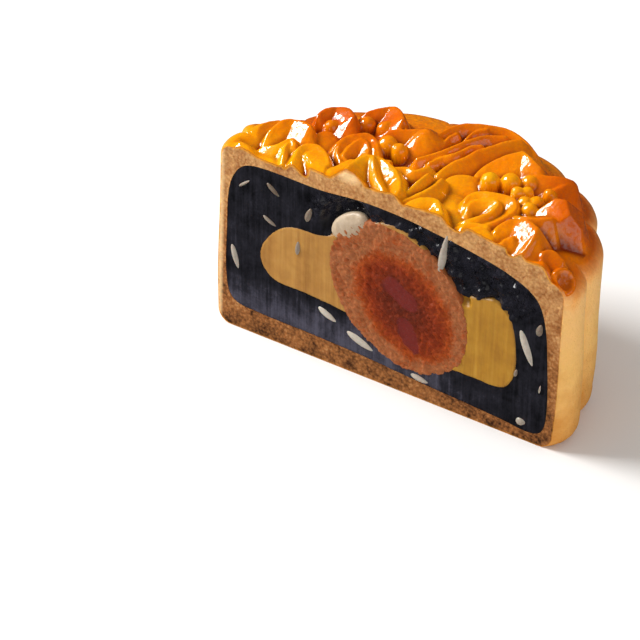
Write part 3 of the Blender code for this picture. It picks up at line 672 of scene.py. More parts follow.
def crest(x, y, inner, outer, rounding, path):
    """A crest whose height falls at the slope inner on the right of its path and outer on the left."""
    spots = smooth_path(path)[:, :, None, None]
    start, span = spots[:-1], spots[1:] - spots[:-1]
    length2 = span[:, 0] ** 2 + span[:, 1] ** 2
    share = np.clip(((x - start[:, 0]) * span[:, 0] + (y - start[:, 1]) * span[:, 1]) / length2, 0.0, 1.0)
    dx, dy = x - start[:, 0] - share * span[:, 0], y - start[:, 1] - share * span[:, 1]
    away = np.hypot(dx, dy)
    side = (dx * span[:, 1] - dy * span[:, 0]) / (np.sqrt(length2) * np.maximum(away, 1e-6))
    nearest = np.take_along_axis(side, away.argmin(0)[None], 0)[0]
    slope = outer + (inner - outer) * np.clip(0.5 + 1.2 * nearest, 0.0, 1.0)
    heights = start[:, 2] + share * span[:, 2] - slope * (np.hypot(away, rounding) - rounding)
    return heights.max(0)


def bead(x, y, middle_x, middle_y, middle, radius):
    """A ball, seen as a height: a dome over a straight side."""
    left = radius ** 2 - (x - middle_x) ** 2 - (y - middle_y) ** 2
    return np.where(left > 0.0, middle + np.sqrt(np.clip(left, 0.0, None)), 0.0)


def gem(x, y):
    """The tall petal with flat faces: the lowest of its planes."""
    heights = []
    for px, py, height, fall, slope in GEM_PLANES:
        away = (x - px) * math.cos(math.radians(fall)) + (y - py) * math.sin(math.radians(fall))
        heights.append(height - slope * away)
    return np.minimum.reduce(heights)


# %% [markdown]
# ## The raster
# One raster of the whole top holds the relief, and a second one says how far each place stands above
# or below its surroundings. The finish paints shade into the creases from that second raster, and
# crests brown a little with the height of the first.

# %% Work out the rasters
RASTER = 0.12
ROUNDING = 0.13
SURROUNDINGS = 1.1
DEEPEST = -2.5
raster_x = np.arange(-42.0, 42.0, RASTER)
raster_y = np.arange(-3.0, 42.0, RASTER)
plan_x, plan_y = np.meshgrid(raster_x, raster_y)


def blurred(field, spread):
    """The raster smoothed over a spread in millimetres."""
    reach = int(3.0 * spread / RASTER)
    weights = np.exp(-0.5 * (np.arange(-reach, reach + 1) * RASTER / spread) ** 2)
    weights /= weights.sum()
    padded = np.pad(field, reach, mode="edge")
    rows = sum(w * padded[i:i + field.shape[0], :] for i, w in enumerate(weights))
    return sum(w * rows[:, i:i + field.shape[1]] for i, w in enumerate(weights))


def sampled(field, x, y):
    """The raster's value at plan places (x, y)."""
    u = np.clip((x - raster_x[0]) / RASTER, 0.0, len(raster_x) - 1.001)
    v = np.clip((y - raster_y[0]) / RASTER, 0.0, len(raster_y) - 1.001)
    i, j = u.astype(int), v.astype(int)
    a, b = u - i, v - j
    near = field[j, i] * (1.0 - a) + field[j, i + 1] * a
    far = field[j + 1, i] * (1.0 - a) + field[j + 1, i + 1] * a
    return near * (1.0 - b) + far * b


def raise_form(field, path, form, *settings):
    """Raise the raster to a form where the form is higher, within reach of its path."""
    spots = np.array(path)[:, :2]
    low, high = spots.min(0) - REACH, spots.max(0) + REACH
    columns = slice(*np.searchsorted(raster_x, (low[0], high[0])))
    rows = slice(*np.searchsorted(raster_y, (low[1], high[1])))
    heights = form(plan_x[rows, columns], plan_y[rows, columns], *settings)
    field[rows, columns] = np.maximum(field[rows, columns], heights)


relief = np.zeros(plan_x.shape)
for x, y, depth, spread in DIPS:
    relief -= depth * np.exp(-((plan_x - x) ** 2 + (plan_y - y) ** 2) / spread ** 2)
for inner, outer, rounding, path in CRESTS:
    raise_form(relief, path, crest, inner, outer, rounding, path)
without_beads = relief.copy()
for ball in BEADS:
    raise_form(relief, [ball], bead, *ball)
on_bead = blurred(np.where(relief > without_beads, 1.0, 0.0), ROUNDING)
raise_form(relief, GEM_PLANES, gem)
relief = np.maximum(blurred(relief, ROUNDING), DEEPEST)
standing = relief - blurred(relief, SURROUNDINGS)
print("relief is up to", round(float(relief.max()), 2), "mm high")
print("crests:", len(CRESTS), "beads:", len(BEADS))

# %% [markdown]
# ## Scalloped wall
# The mould has sixteen round lobes for a whole cake, of which the half keeps eight. Their shape follows
# a rule, so Geometry Nodes make the wall from a grid: columns run round the cake and rows run from the
# flat base, up the wall and over the shoulder.

# %% Wall by Geometry Nodes
LOBES = 16
LOBE_PEAK = 40.4
LOBE_NOTCH = 38.2
LOBE_ROUNDNESS = 0.6
PHASE_BASE = 5.5
PHASE_TOP = 2.0
LOBE_COLUMNS = 22
CORNER_ROWS = 6
WALL_ROWS = 44
SHOULDER_ROWS = 8
BASE_CORNER = 3.0
SHOULDER = 2.6
SHOULDER_DROP = 2.8
SHOULDER_TILT = 0.94
WALL_FLARE = 0.5
FLARE_LEVEL = 0.25
FLARE_SPREAD = 0.35
CUT_SQUASH = 2.4
SQUASH_REACH = 3.0
QUARTER_TURN = math.pi / 2.0
WALL_ROWS_ALL = CORNER_ROWS + WALL_ROWS + SHOULDER_ROWS + 1
WALL_COLUMNS_ALL = (LOBES // 2 + 1) * LOBE_COLUMNS + 1

tree, start, end = new_tree(
    "GeometryNodeTree", "Scalloped wall",
    [("Lobes", "count", LOBES), ("Columns a lobe", "count", LOBE_COLUMNS),
     ("Peak radius", "number", LOBE_PEAK), ("Notch radius", "number", LOBE_NOTCH),
     ("Base corner", "number", BASE_CORNER), ("Shoulder", "number", SHOULDER),
     ("Shoulder drop", "number", SHOULDER_DROP)],
    [("Wall", "shape")])
given = {socket.name: Field(tree, socket) for socket in start.outputs}
column_count = (given["Lobes"] / 2.0 + 1.0) * given["Columns a lobe"] + 1.0
grid = step(tree, "GeometryNodeMeshGrid", {
    "Size X": column_count - 1.0, "Size Y": WALL_ROWS_ALL - 1.0,
    "Vertices X": column_count, "Vertices Y": WALL_ROWS_ALL})
place = step(tree, "ShaderNodeSeparateXYZ", {"Vector": step(tree, "GeometryNodeInputPosition").outputs[0]})
column = Field(tree, place.outputs["X"]) + (column_count - 1.0) / 2.0
row = Field(tree, place.outputs["Y"]) + (WALL_ROWS_ALL - 1.0) / 2.0

corner_turn = clip01(row / CORNER_ROWS) * QUARTER_TURN
level = clip01((row - float(CORNER_ROWS)) / WALL_ROWS)
shoulder_share = clip01((row - float(CORNER_ROWS + WALL_ROWS)) / SHOULDER_ROWS)
shoulder_turn = shoulder_share * QUARTER_TURN
base_inset = given["Base corner"] * (1.0 - corner_turn.math("SINE"))
inset = base_inset + given["Shoulder"] * (1.0 - shoulder_turn.math("COSINE"))

lobe = (column / given["Columns a lobe"] + 1e-4).math("FLOOR").math("MINIMUM", given["Lobes"] / 2.0)
within = column / given["Columns a lobe"] - lobe
half_pitch = given["Lobes"].math("POWER", -1.0) * 180.0
middle = PHASE_BASE + (PHASE_TOP - PHASE_BASE) * level + lobe * half_pitch * 2.0
low_angle = (middle - half_pitch).math("MAXIMUM", 0.0)
high_angle = (middle + half_pitch).math("MINIMUM", 180.0)
angle = low_angle + (high_angle - low_angle) * within
across = ((angle - middle).math("ABSOLUTE") / half_pitch).math("MINIMUM", 1.0)
flare = exponent(((level - FLARE_LEVEL) / FLARE_SPREAD) ** 2.0 * -1.0) * WALL_FLARE
swell = clip01(1.0 - across * across) ** LOBE_ROUNDNESS
radius = given["Notch radius"] + (given["Peak radius"] + flare - given["Notch radius"]) * swell
turn = angle * (math.pi / 180.0)
radius = radius - exponent(radius * turn.math("SINE") / -SQUASH_REACH) * CUT_SQUASH - inset
x, y = radius * turn.math("COSINE"), (radius * turn.math("SINE")).math("MAXIMUM", 0.0)
inward = SHOULDER_TILT + (1.0 - SHOULDER_TILT) * shoulder_share
rim_height = valley(x * inward, y * inward)
low_part = given["Base corner"] * (1.0 - corner_turn.math("COSINE"))
wall_part = (rim_height - given["Base corner"] - given["Shoulder drop"]) * level
z = low_part + wall_part + given["Shoulder drop"] * shoulder_turn.math("SINE")
spot = step(tree, "ShaderNodeCombineXYZ", {"X": x, "Y": y, "Z": z})
moved = step(tree, "GeometryNodeSetPosition", {"Geometry": grid.outputs["Mesh"], "Position": spot.outputs[0]})
realized = step(tree, "GeometryNodeRealizeInstances", {"Geometry": moved.outputs[0]})
tree.links.new(realized.outputs[0], end.inputs[0])

wall_source = grown_by_nodes("wall", bpy.data.meshes.new("wall"), tree)
wall = np.array([tuple(v.co) for v in wall_source.data.vertices]).reshape(WALL_COLUMNS_ALL, WALL_ROWS_ALL, 3)
bpy.data.objects.remove(wall_source)
print("wall of", WALL_COLUMNS_ALL, "columns and", WALL_ROWS_ALL, "rows")

# %% [markdown]
# ## Colours, mixes and masks
# Colours are written as they show on a screen. A few short functions build what every finish needs: a
# mix, a ramp, noise, and a mask that the points of a piece carry.

# %% Shader helpers


def srgb(red, green, blue):
    """A display colour from 0 to 255 as linear values with alpha."""
    shares = (red / 255, green / 255, blue / 255)
    linear = [c / 12.92 if c <= 0.04045 else ((c + 0.055) / 1.055) ** 2.4 for c in shares]
    return (*linear, 1.0)


def mixed(tree, share, first, second):
    """A colour between two colours or sockets."""
    return step(tree, "ShaderNodeMix", {0: share, 6: first, 7: second}, data_type="RGBA").outputs[2]


def ramp(tree, share, *stops):
    """A colour from a ramp; each stop is a place and a display colour's red, green and blue."""
    node = step(tree, "ShaderNodeValToRGB", {"Fac": share})
    elements = node.color_ramp.elements
    elements[0].position, elements[1].position = stops[0][0], stops[-1][0]
    for place, *_ in stops[1:-1]:
        elements.new(place)
    for element, (_, *colour) in zip(elements, stops):
        element.color = srgb(*colour)
    return node.outputs["Color"]


def mask_of(tree, name):
    """A mask that the piece's points carry."""
    return Field(tree, step(tree, "ShaderNodeAttribute", attribute_name=name).outputs["Fac"])


def noise_at(tree, vector, scale, detail=4.0, roughness=0.6):
    """Noise between 0 and 1 on a vector."""
    inputs = {"Vector": vector, "Scale": scale, "Detail": detail, "Roughness": roughness}
    return Field(tree, step(tree, "ShaderNodeTexNoise", inputs).outputs["Fac"])


# %% [markdown]
# ## Effects shared by the food
# Three effects return in several parts: a fine grain, the lines that the knife dragged down the soft
# fillings, and open crumb. Each is a node group with its own sizes, so that every material can use it
# at the right scale.

# %% Shared groups


def shader_group(name, numbers, outputs):
    """A shader group of named numbers: its tree, the numbers as Fields, its end and the place."""
    tree, start, end = new_tree(
        "ShaderNodeTree", name, [(label, "number", value) for label, value in numbers.items()],
        [(label, "number") for label in outputs])
    given = {label: Field(tree, start.outputs[label]) for label in numbers}
    return tree, given, end, step(tree, "ShaderNodeTexCoord").outputs["Object"]


grain_tree, given, end, spot = shader_group("Fine grain", {"Scale": 2000.0, "Contrast": 1.0}, ["Mask"])
grain = noise_at(grain_tree, spot, given["Scale"])
feed(grain_tree, end, {"Mask": clip01((grain - 0.5) * given["Contrast"] + 0.5)})

drag_tree, given, end, spot = shader_group(
    "Knife drag", {"Lines": 900.0, "Stretch": 0.06, "Lean": 0.03}, ["Mask"])
split = step(drag_tree, "ShaderNodeSeparateXYZ", {"Vector": spot})
across_x, up_z = Field(drag_tree, split.outputs["X"]), Field(drag_tree, split.outputs["Z"])
drawn_out = {"X": across_x + up_z * given["Lean"], "Y": 0.0, "Z": up_z * given["Stretch"]}
lines = step(drag_tree, "ShaderNodeCombineXYZ", drawn_out)
feed(drag_tree, end, {"Mask": noise_at(drag_tree, lines.outputs[0], given["Lines"], 3.0, 0.65)})

crumb_tree, given, end, spot = shader_group("Open crumb", {"Cell": 1400.0}, ["Height"])
cells = step(crumb_tree, "ShaderNodeTexVoronoi", {"Vector": spot, "Scale": given["Cell"]}, feature="F1")
rough = noise_at(crumb_tree, spot, given["Cell"], 5.0, 0.7)
height = rough * 0.7 + (1.0 - Field(crumb_tree, cells.outputs["Distance"])) * 0.3
feed(crumb_tree, end, {"Height": height})


def group_value(tree, group, output="Mask", **numbers):
    """One output of a shared group in a material, with the group's numbers set."""
    node = step(tree, "ShaderNodeGroup", node_tree=group)
    feed(tree, node, numbers)
    return Field(tree, node.outputs[output])


def new_material(name):
    """A material, its tree and its Principled node."""
    made = bpy.data.materials.new(name)
    made.use_nodes = True
    return made, made.node_tree, made.node_tree.nodes["Principled BSDF"]


def set_bump(tree, shader, height, strength, distance):
    """Feed a height into the shader's normal through a Bump node."""
    bump = step(tree, "ShaderNodeBump", {"Height": height, "Strength": strength, "Distance": distance})
    feed(tree, shader, {"Normal": bump.outputs["Normal"]})


print("shared groups:", grain_tree.name, drag_tree.name, crumb_tree.name, sep=", ")


# %% [markdown]
# ## Crust finish
# The top was brushed with egg before baking: valleys stay golden, crests and the far petals burn to
# orange brown, and the egg dries to a hard gloss that fine wrinkles break up. The left flower's petals
# are also painted darker as shade, and the creases get painted shade. The wall had little egg and is
# satin tan, deeper near the base. The cut shows dry crumb with a thin dark skin on the outside; the
# crumb is painted darker in its pits and paler on its tops, as painted shade and highlight.

# %% Crust material
CRUST_MASKS = ("brown", "wall", "cut", "low", "crease", "pale")
crust_look, tree, shader = new_material("baked crust")
brown, wall_mask, cut_mask, low_mask, crease, pale = (mask_of(tree, name) for name in CRUST_MASKS)
mottle = group_value(tree, grain_tree, Scale=260.0, Contrast=1.6)
fine = group_value(tree, grain_tree, Scale=3200.0, Contrast=1.4)
wrinkles = group_value(tree, grain_tree, Scale=1300.0, Contrast=2.2)
crumb_height = group_value(tree, crumb_tree, "Height", Cell=1500.0)
top_colour = ramp(tree, brown + (mottle - 0.5) * 0.16,
                  (0.0, 252, 176, 8), (0.3, 244, 142, 2), (0.62, 214, 96, 0), (1.0, 156, 50, 0))
# painted shade: the creases of the top are mixed toward a dark brown
top_colour = mixed(tree, clip01(crease), top_colour, srgb(132, 42, 0))
wall_colour = ramp(tree, low_mask + (mottle - 0.5) * 0.35,
                   (0.0, 214, 142, 62), (0.45, 246, 192, 112), (0.8, 250, 194, 122), (1.0, 248, 168, 84))
# the crumb's colour follows its bump: darker in the pits as painted shade, paler on the tops as painted
# highlight, and darker toward the base
crumb_colour = ramp(tree, crumb_height * 0.9 + low_mask * 0.32 + (mottle - 0.5) * 0.5,
                    (0.25, 64, 38, 22), (0.56, 162, 104, 58), (0.95, 218, 166, 108))
crumb_colour = mixed(tree, clip01(pale), crumb_colour, srgb(248, 206, 150))
baked_colour = mixed(tree, wall_mask, top_colour, wall_colour)
film = clip01((wrinkles * 0.7 + fine * 0.3 - 0.36) * 5.0) * 0.85 + 0.15
feed(tree, shader, {
    "Base Color": mixed(tree, cut_mask, baked_colour, crumb_colour),
    "Roughness": clip01(wall_mask * 0.26 + cut_mask * 0.6 + 0.24 + (fine - 0.5) * 0.08),
    "Coat Weight": clip01(1.0 - wall_mask * 0.85 - cut_mask) * film,
    "Coat Roughness": 0.07, "Coat IOR": 1.9, "Specular IOR Level": 0.06,
    "Subsurface Weight": 0.12, "Subsurface Radius": (1.0, 0.45, 0.15), "Subsurface Scale": 0.0012})
wrinkle_height = wrinkles * (wall_mask * 0.3 + 0.1) * (1.0 - cut_mask)
set_bump(tree, shader, wrinkle_height + crumb_height * cut_mask, 0.6, 0.0008)
print(crust_look.name, "has", len(tree.nodes), "nodes")

# %% [markdown]
# ## Crust piece
# The wall's rings, the relief of the top, the flat base, the band of crumb at the cut and the hollow
# for the filling are joined into one closed shell.

# %% Wall of the crust


def brownness(x, y, above):
    """How far the egg glaze has browned: more on crests, away from the cut and on the right, and over the
    left flower's petals, where it is partly painted shade.
    """
    spots = uneven(stacked(x, y, above), 5.0, 7)
    far = clip01((y - 6.0) / 24.0)
    right = clip01((x - 16.0) / 16.0)
    # petals: partly browning, partly painted shade on the petals' faces
    petal_brown_and_shade = clip01(1.3 - np.hypot((x + 22.0) / 19.0, (y - 18.0) / 11.0))
    return 0.15 + 0.27 * far + 0.36 * right + 0.36 * petal_brown_and_shade + 0.01 * above + 0.14 * spots


shell = Shell(*CRUST_MASKS)
rows = np.arange(WALL_ROWS_ALL)
wall_low = wall[:, :, 2] / VALLEY_HEIGHT
over = clip01((rows - CORNER_ROWS - WALL_ROWS + 1.0) / SHOULDER_ROWS)
side = np.broadcast_to(1.0 - over, wall_low.shape)
flat_wall = wall.reshape(-1, 3)
wobble = uneven(flat_wall, 9.0, 21) * 0.18 + uneven(flat_wall, 1.6, 22) * 0.03
inner_rows = np.broadcast_to((rows > CORNER_ROWS) & (rows < WALL_ROWS_ALL - 1), wall_low.shape)
away = clip01(flat_wall[:, 1] / 2.0) * inner_rows.reshape(-1)
outward = flat_wall[:, :2] / np.linalg.norm(flat_wall[:, :2], axis=1)[:, None]
flat_wall[:, :2] += outward * (wobble * away)[:, None]
brown_wall = brownness(flat_wall[:, 0], flat_wall[:, 1], np.full(len(flat_wall), 1.0))
numbers = shell.add(flat_wall, brown=brown_wall, wall=side.reshape(-1), low=wall_low.reshape(-1))
numbers = numbers.reshape(WALL_COLUMNS_ALL, WALL_ROWS_ALL)
for first, second in zip(numbers, numbers[1:]):
    shell.bridge(first, second, closed=False)
print("wall:", len(shell.points), "points,", len(shell.faces), "faces")

# %% [markdown]
# ## Top and base of the crust
# The top follows the valley formula with the relief on it, and fades into the rim of the wall. The base
# is flat. Both end in a row of points along the cut.

# %% Top and base
TOP_SPACING = 0.22
CUT_STEP = 0.25
FADE = 1.6
BASE_SPACING = 3.0
BASE_STEP = 0.6
BASE_MARGIN = 0.3

rim = flat_wall[numbers[:, -1]]
rim_angle, rim_radius = np.arctan2(rim[:, 1], rim[:, 0]), np.hypot(rim[:, 0], rim[:, 1])


def rim_reach(x, y):
    """How far out the rim lies in the direction of plan places (x, y)."""
    return np.interp(np.arctan2(y, x), rim_angle, rim_radius)


def top_points(plan):
    """Points of the top over plan places."""
    x, y = plan.T
    room = rim_reach(x, y) - np.hypot(x, y)
    heights = valley(x, y) + sampled(relief, x, y) * clip01(room / FADE)
    fine_wobble = uneven(stacked(x, y, heights), 1.5, 31) * 0.11
    return stacked(x, y, heights + fine_wobble * clip01(room))


def along_cut(spacing):
    """Even x places along the cut, between the ends of the rim."""
    return np.linspace(rim[-1, 0], rim[0, 0], round((rim[0, 0] - rim[-1, 0]) / spacing))[1:-1]


along_plan = stacked(along_cut(CUT_STEP), 0.0)
cut_top = shell.add(top_points(along_plan), brown=0.3, cut=0.5)
top_plan = np.concatenate([rim[:, :2], along_plan])
inside = hex_points((-41.0, TOP_SPACING * 0.7), (41.0, 41.0), TOP_SPACING)
inside = inside[np.hypot(*inside.T) < rim_reach(*inside.T) - 0.5 * TOP_SPACING]
browned = brownness(*inside.T, sampled(relief, *inside.T)) - 0.22 * sampled(on_bead, *inside.T)
# painted shade, deeper the lower a place sits below its surroundings
creased = clip01(-1.3 * sampled(standing, *inside.T) - 0.12)
top_border = np.concatenate([numbers[:, -1], cut_top])
shell.fill(top_border, top_plan, inside, top_points, brown=browned, crease=creased)

base_x = along_cut(BASE_STEP)
base_left, base_right = flat_wall[numbers[[-1, 0], 0], 0]
base_x = base_x[(base_x > base_left + BASE_MARGIN) & (base_x < base_right - BASE_MARGIN)]
cut_base = shell.add(stacked(base_x, 0.0, 0.0), cut=0.5, wall=1.0)
base_plan = np.concatenate([flat_wall[numbers[:, 0], :2], stacked(base_x, 0.0)])
below = hex_points((-37.0, 2.0), (37.0, 37.0), BASE_SPACING)
below = below[np.hypot(*below.T) < LOBE_NOTCH - BASE_CORNER - 2.0]
base_border = np.concatenate([numbers[:, 0], cut_base])
shell.fill(base_border, base_plan, below, lambda plan: stacked(*plan.T, 0.0), wall=1.0)
print("with top and base:", len(shell.points), "points,", len(shell.faces), "faces")

# %% [markdown]
# ## Crumb at the cut and hollow for the filling
# The knife left open crumb in the band between the outside and the filling. The crumb is paler on one
# lobe that was cut through and at the left end. Behind it a plain rounded hollow closes the shell.

# %% Crumb and hollow
CRUMB_SPACING = 0.27
CRUMB_DEPTH = 0.16
PALE_LOBE = (-9.2, 43.6)
PALE_SKIN = -36.9
HOLLOW_STEPS = 9
HOLLOW_GAP = 0.3


def at_cut(places, depths=0.0):
    """(x, z) places of the cut as points at the given depths."""
    return stacked(places[:, 0], depths, places[:, 1])


def crumb_points(plan):
    """Points of the crumb band at the cut over (x, z) places."""
    pits = uneven(at_cut(plan), 1.1, 41, 4)
    fade = clip01(np.minimum(edge_distance(plan, profile), edge_distance(plan, paste_curve)) / 0.4)
    return at_cut(plan, (0.08 - CRUMB_DEPTH * pits) * fade)


profile_numbers = np.concatenate([numbers[0], cut_top[::-1], numbers[-1][::-1], cut_base])
profile = shell.points[profile_numbers][:, [0, 2]]
band = hex_points((-41.0, 0.3), (41.0, 44.0), CRUMB_SPACING)
band = band[is_inside(band, profile) & ~is_inside(band, paste_curve)]
gap = np.minimum(edge_distance(band, profile), edge_distance(band, paste_curve))
band = band[gap > 0.5 * CRUMB_SPACING]
hole = shell.add(at_cut(paste_curve), cut=1.0, low=paste_curve[:, 1] / VALLEY_HEIGHT)
lip = edge_distance(band, shell.points[cut_top][:, [0, 2]], closed=False)
lobe_cut = clip01(1.6 - np.hypot((band[:, 0] - PALE_LOBE[0]) / 2.2, (band[:, 1] - PALE_LOBE[1]) / 1.4))
left_skin = clip01((PALE_SKIN - band[:, 0]) / 0.8)
shell.fill(profile_numbers, profile, band, crumb_points, hole=(hole, paste_curve), brown=0.1,
           low=band[:, 1] / VALLEY_HEIGHT, cut=np.clip((lip - 0.2) / 0.3, 0.25, 1.0),
           pale=np.maximum(lobe_cut, left_skin))


def back_rings(shell, ring, outline, centre, depth, flatness, front, steps, **masks):
    """Close a layer behind its outline: rings that shrink about centre down to one point at depth."""
    for turn in np.radians(np.linspace(0.0, 90.0, steps + 1))[1:-1]:
        wide, tall = math.cos(turn), math.cos(turn) ** flatness
        x = centre[0] + (outline[:, 0] - centre[0]) * wide
        z = centre[1] + (outline[:, 1] - centre[1]) * tall
        following = shell.add(stacked(x, front + (depth - front) * math.sin(turn), z), **masks)
        shell.bridge(ring, following)
        ring = following
    tip = shell.add(np.array([[centre[0], depth, centre[1]]]), **masks)
    shell.fan(ring, tip[0])


back_rings(shell, hole, paste_curve, PASTE_CENTRE, PASTE_DEPTH + HOLLOW_GAP, PASTE_FLATNESS, 0.0,
           HOLLOW_STEPS, cut=1.0, low=0.5)
crust = shell.finished("crust_shell", crust_look)

# %% [markdown]
# ## Knob at the corner
# A round petal hangs over the right corner of the cut. It is a disc with a raised rim, turned outward.

# %% Corner knob
KNOB_CENTRE = np.array([36.2, 1.7, 36.2])
KNOB_OUT = Vector((0.72, -0.30, 0.62)).normalized()
# radius and height of each ring, from the middle of the face to behind the rim
KNOB_RINGS = [
    (0.9, 0.75), (1.5, 0.8), (1.95, 1.1), (2.35, 1.15), (2.7, 0.75), (2.75, 0.0), (2.5, -1.2), (1.4, -2.2)]
KNOB_STEPS = 40
KNOB_BROWN = 0.55
# painted shade: the knob's dished face inside its rim is darkened
KNOB_FACE_SHADE = 0.5
KNOB_FACE = 1.6
KNOB_FRONT = 0.45
KNOB_TIPS = (0.72, -2.3)

knob = Shell(*CRUST_MASKS)
knob_right = KNOB_OUT.cross(Vector((0.0, 0.0, 1.0))).normalized()
knob_up = knob_right.cross(KNOB_OUT)
turns = np.linspace(0.0, 2.0 * math.pi, KNOB_STEPS, endpoint=False)
circle = np.cos(turns)[:, None] * np.array(knob_right) + np.sin(turns)[:, None] * np.array(knob_up)
knob_rings = []
for radius, height in KNOB_RINGS:
    ring = KNOB_CENTRE + height * np.array(KNOB_OUT) + radius * circle
    ring += 0.12 * uneven(ring, 1.5, 91)[:, None]
    ring[:, 1] = np.maximum(ring[:, 1], KNOB_FRONT)
    knob_rings.append(knob.add(ring, brown=KNOB_BROWN, crease=KNOB_FACE_SHADE if radius < KNOB_FACE else 0.0))
for first, second in zip(knob_rings, knob_rings[1:]):
    knob.bridge(first, second)
for ring, height, crease in zip((knob_rings[0], knob_rings[-1]), KNOB_TIPS, (KNOB_FACE_SHADE, 0.0)):
    tip = knob.add((KNOB_CENTRE + height * np.array(KNOB_OUT))[None], brown=KNOB_BROWN, crease=crease)
    knob.fan(ring, tip[0])
corner_knob = knob.finished("corner_knob", crust_look)

# %% [markdown]
# ## Filling pieces
# Each layer of the filling is a lens that runs back from the cut. Its front is triangulated finely and
# moved by its own relief, and its rim curls back a little, so that each layer seems pressed against its
# neighbour rather than printed on it.

# %% Layers of the filling
RIM_BACK = 0.5
RIM_WIDTH = 0.6
SINK_WIDTH = 0.8
COVERED_MARGIN = 1.2
SPARSE_MARGIN = 1.5
SPARSENESS = 5.0


def layer(name, outline, centre, depth, spacing, front, looks, masks, flatness=1.0, steps=8, covered=None):
    """A filling layer whose front(places) gives y at (x, z) places.

    masks(places, distance to the rim) gives the masks, and few points do inside the outline covered.
    """
    low, high = outline.min(0), outline.max(0)
    inside = hex_points(low, high, spacing)
    inside = inside[is_inside(inside, outline)]
    inside = inside[edge_distance(inside, outline) > 0.5 * spacing]
    if covered is not None:
        hidden = is_inside(inside, covered)
        hidden[hidden] = edge_distance(inside[hidden], covered) > COVERED_MARGIN
        few = hex_points(low, high, SPARSENESS * spacing)
        few = few[is_inside(few, covered)]
        few = few[edge_distance(few, covered) > SPARSE_MARGIN]
        inside = np.concatenate([inside[~hidden], few])
    gap = edge_distance(inside, outline)
    curl = clip01(1.0 - gap / RIM_WIDTH)
    depths = front(inside) + RIM_BACK * (1.0 - np.sqrt(1.0 - curl * curl))
    edge_masks = masks(outline, np.zeros(len(outline)))
    shell = Shell(*edge_masks)
    ring = shell.add(at_cut(outline, RIM_BACK), **edge_masks)
    shell.fill(ring, outline, inside, lambda plan: at_cut(plan, depths), **masks(inside, gap))
    back_rings(shell, ring, outline, centre, depth, flatness, RIM_BACK, steps)
    return shell.finished(name, looks)


def sunk_under(places, *covers):
    """How far a layer sinks under the layers in front of it: 1 well inside their outlines."""
    deepest = np.zeros(len(places))
    for outline in covers:
        under = is_inside(places, outline)
        deepest[under] = np.maximum(deepest[under], edge_distance(places[under], outline))
    return clip01(deepest / SINK_WIDTH)


def dragged(places, fineness, seed):
    """Knife drag: noise stretched down the cut."""
    lean = places[:, 0] + 0.03 * places[:, 1]
    return uneven(stacked(lean, 0.0, places[:, 1] * 0.06), fineness, seed)


def near_ellipse(places, centre, length, width, tilt):
    """1 at the middle of an ellipse, falling to 0 at its outline and below 0 outside."""
    c, s = math.cos(math.radians(tilt)), math.sin(math.radians(tilt))
    dx, dz = places[:, 0] - centre[0], places[:, 1] - centre[1]
    u, v = (dx * c + dz * s) / (0.5 * length), (dz * c - dx * s) / (0.5 * width)
    return 1.0 - u * u - v * v


# %% [markdown]
# ## Black paste
# Dense, moist and nearly black, with a blue cast. The knife smeared it smooth below and dragged fine
# lines down it, and above the yolk it tore into glossy lumps.

# %% Black paste
# each ellipse: centre, length, width, tilt
TORN_BAND = ((17.0, 33.0), 40.0, 13.0, -16.0)
TORN_BY_NUT = ((-9.0, 35.0), 22.0, 9.0, 4.0)
NUT_HOLLOW = ((-9.6, 33.6), 12.6, 8.6, 30.0)
PASTE_GROWTH = 0.25
PASTE_SPACING = 0.27

paste_look, tree, shader = new_material("black seed paste")
torn, smear = mask_of(tree, "torn"), mask_of(tree, "smear")
lines = group_value(tree, drag_tree, Lines=1500.0, Stretch=0.05, Lean=0.03)
fine = group_value(tree, grain_tree, Scale=2600.0, Contrast=2.0)
cloud = group_value(tree, grain_tree, Scale=240.0, Contrast=2.4)
drawn = smear * 0.55 + (lines - 0.5) * 0.9 * (1.0 - torn)
tone = clip01(drawn + (cloud - 0.5) * 0.5 + (fine - 0.5) * 0.25 + 0.25)
feed(tree, shader, {
    "Base Color": ramp(tree, tone, (0.0, 14, 14, 20), (0.45, 37, 36, 45), (1.0, 80, 78, 93)),
    "Roughness": clip01(0.5 - torn * 0.24 + (fine - 0.5) * 0.3),
    "Coat Weight": torn * 0.6, "Coat Roughness": 0.25, "Specular IOR Level": 0.2})
set_bump(tree, shader, lines * 0.6 + fine * 0.5, 0.6, 0.00008)


def paste_torn(places):
    """Where the paste tore into lumps: over the yolk and round the nut."""
    band = clip01(near_ellipse(places, *TORN_BAND) * 2.0)
    return np.maximum(band, clip01(near_ellipse(places, *TORN_BY_NUT) * 2.0))


def paste_front(places):
    """The black paste's front."""
    lumps = paste_torn(places) * (0.4 - 1.25 * uneven(at_cut(places), 1.7, 51, 4))
    nut_hollow = clip01(near_ellipse(places, *NUT_HOLLOW) * 2.5)
    rough = 0.05 * uneven(at_cut(places), 3.0, 52) + 0.04 * dragged(places, 0.7, 53)
    return rough + lumps + 1.6 * nut_hollow + 1.2 * sunk_under(places, yellow_curve, yolk_curve)


def paste_masks(places, gap):
    """Masks of the black paste: torn lumps, and the smear at the lower left."""
    smear = clip01((13.0 - places[:, 1]) / 6.0) * clip01((20.0 - places[:, 0]) / 10.0)
    return {"torn": paste_torn(places), "smear": smear}


paste = layer("black_paste_body", grown(paste_curve, PASTE_GROWTH), PASTE_CENTRE, PASTE_DEPTH, PASTE_SPACING,
              paste_front, paste_look, paste_masks, flatness=PASTE_FLATNESS, steps=9, covered=yellow_curve)

# %% [markdown]
# ## Yellow paste
# A smooth sweet paste, duller on the left and clear yellow on the right, with long drag lines from the
# knife and a thin darker edge where it meets the black paste.

# %% Yellow paste
WEDGE_HOLLOW = ((15.6, 27.4), 8.0, 3.4, -38.0)
YELLOW_SPACING = 0.27

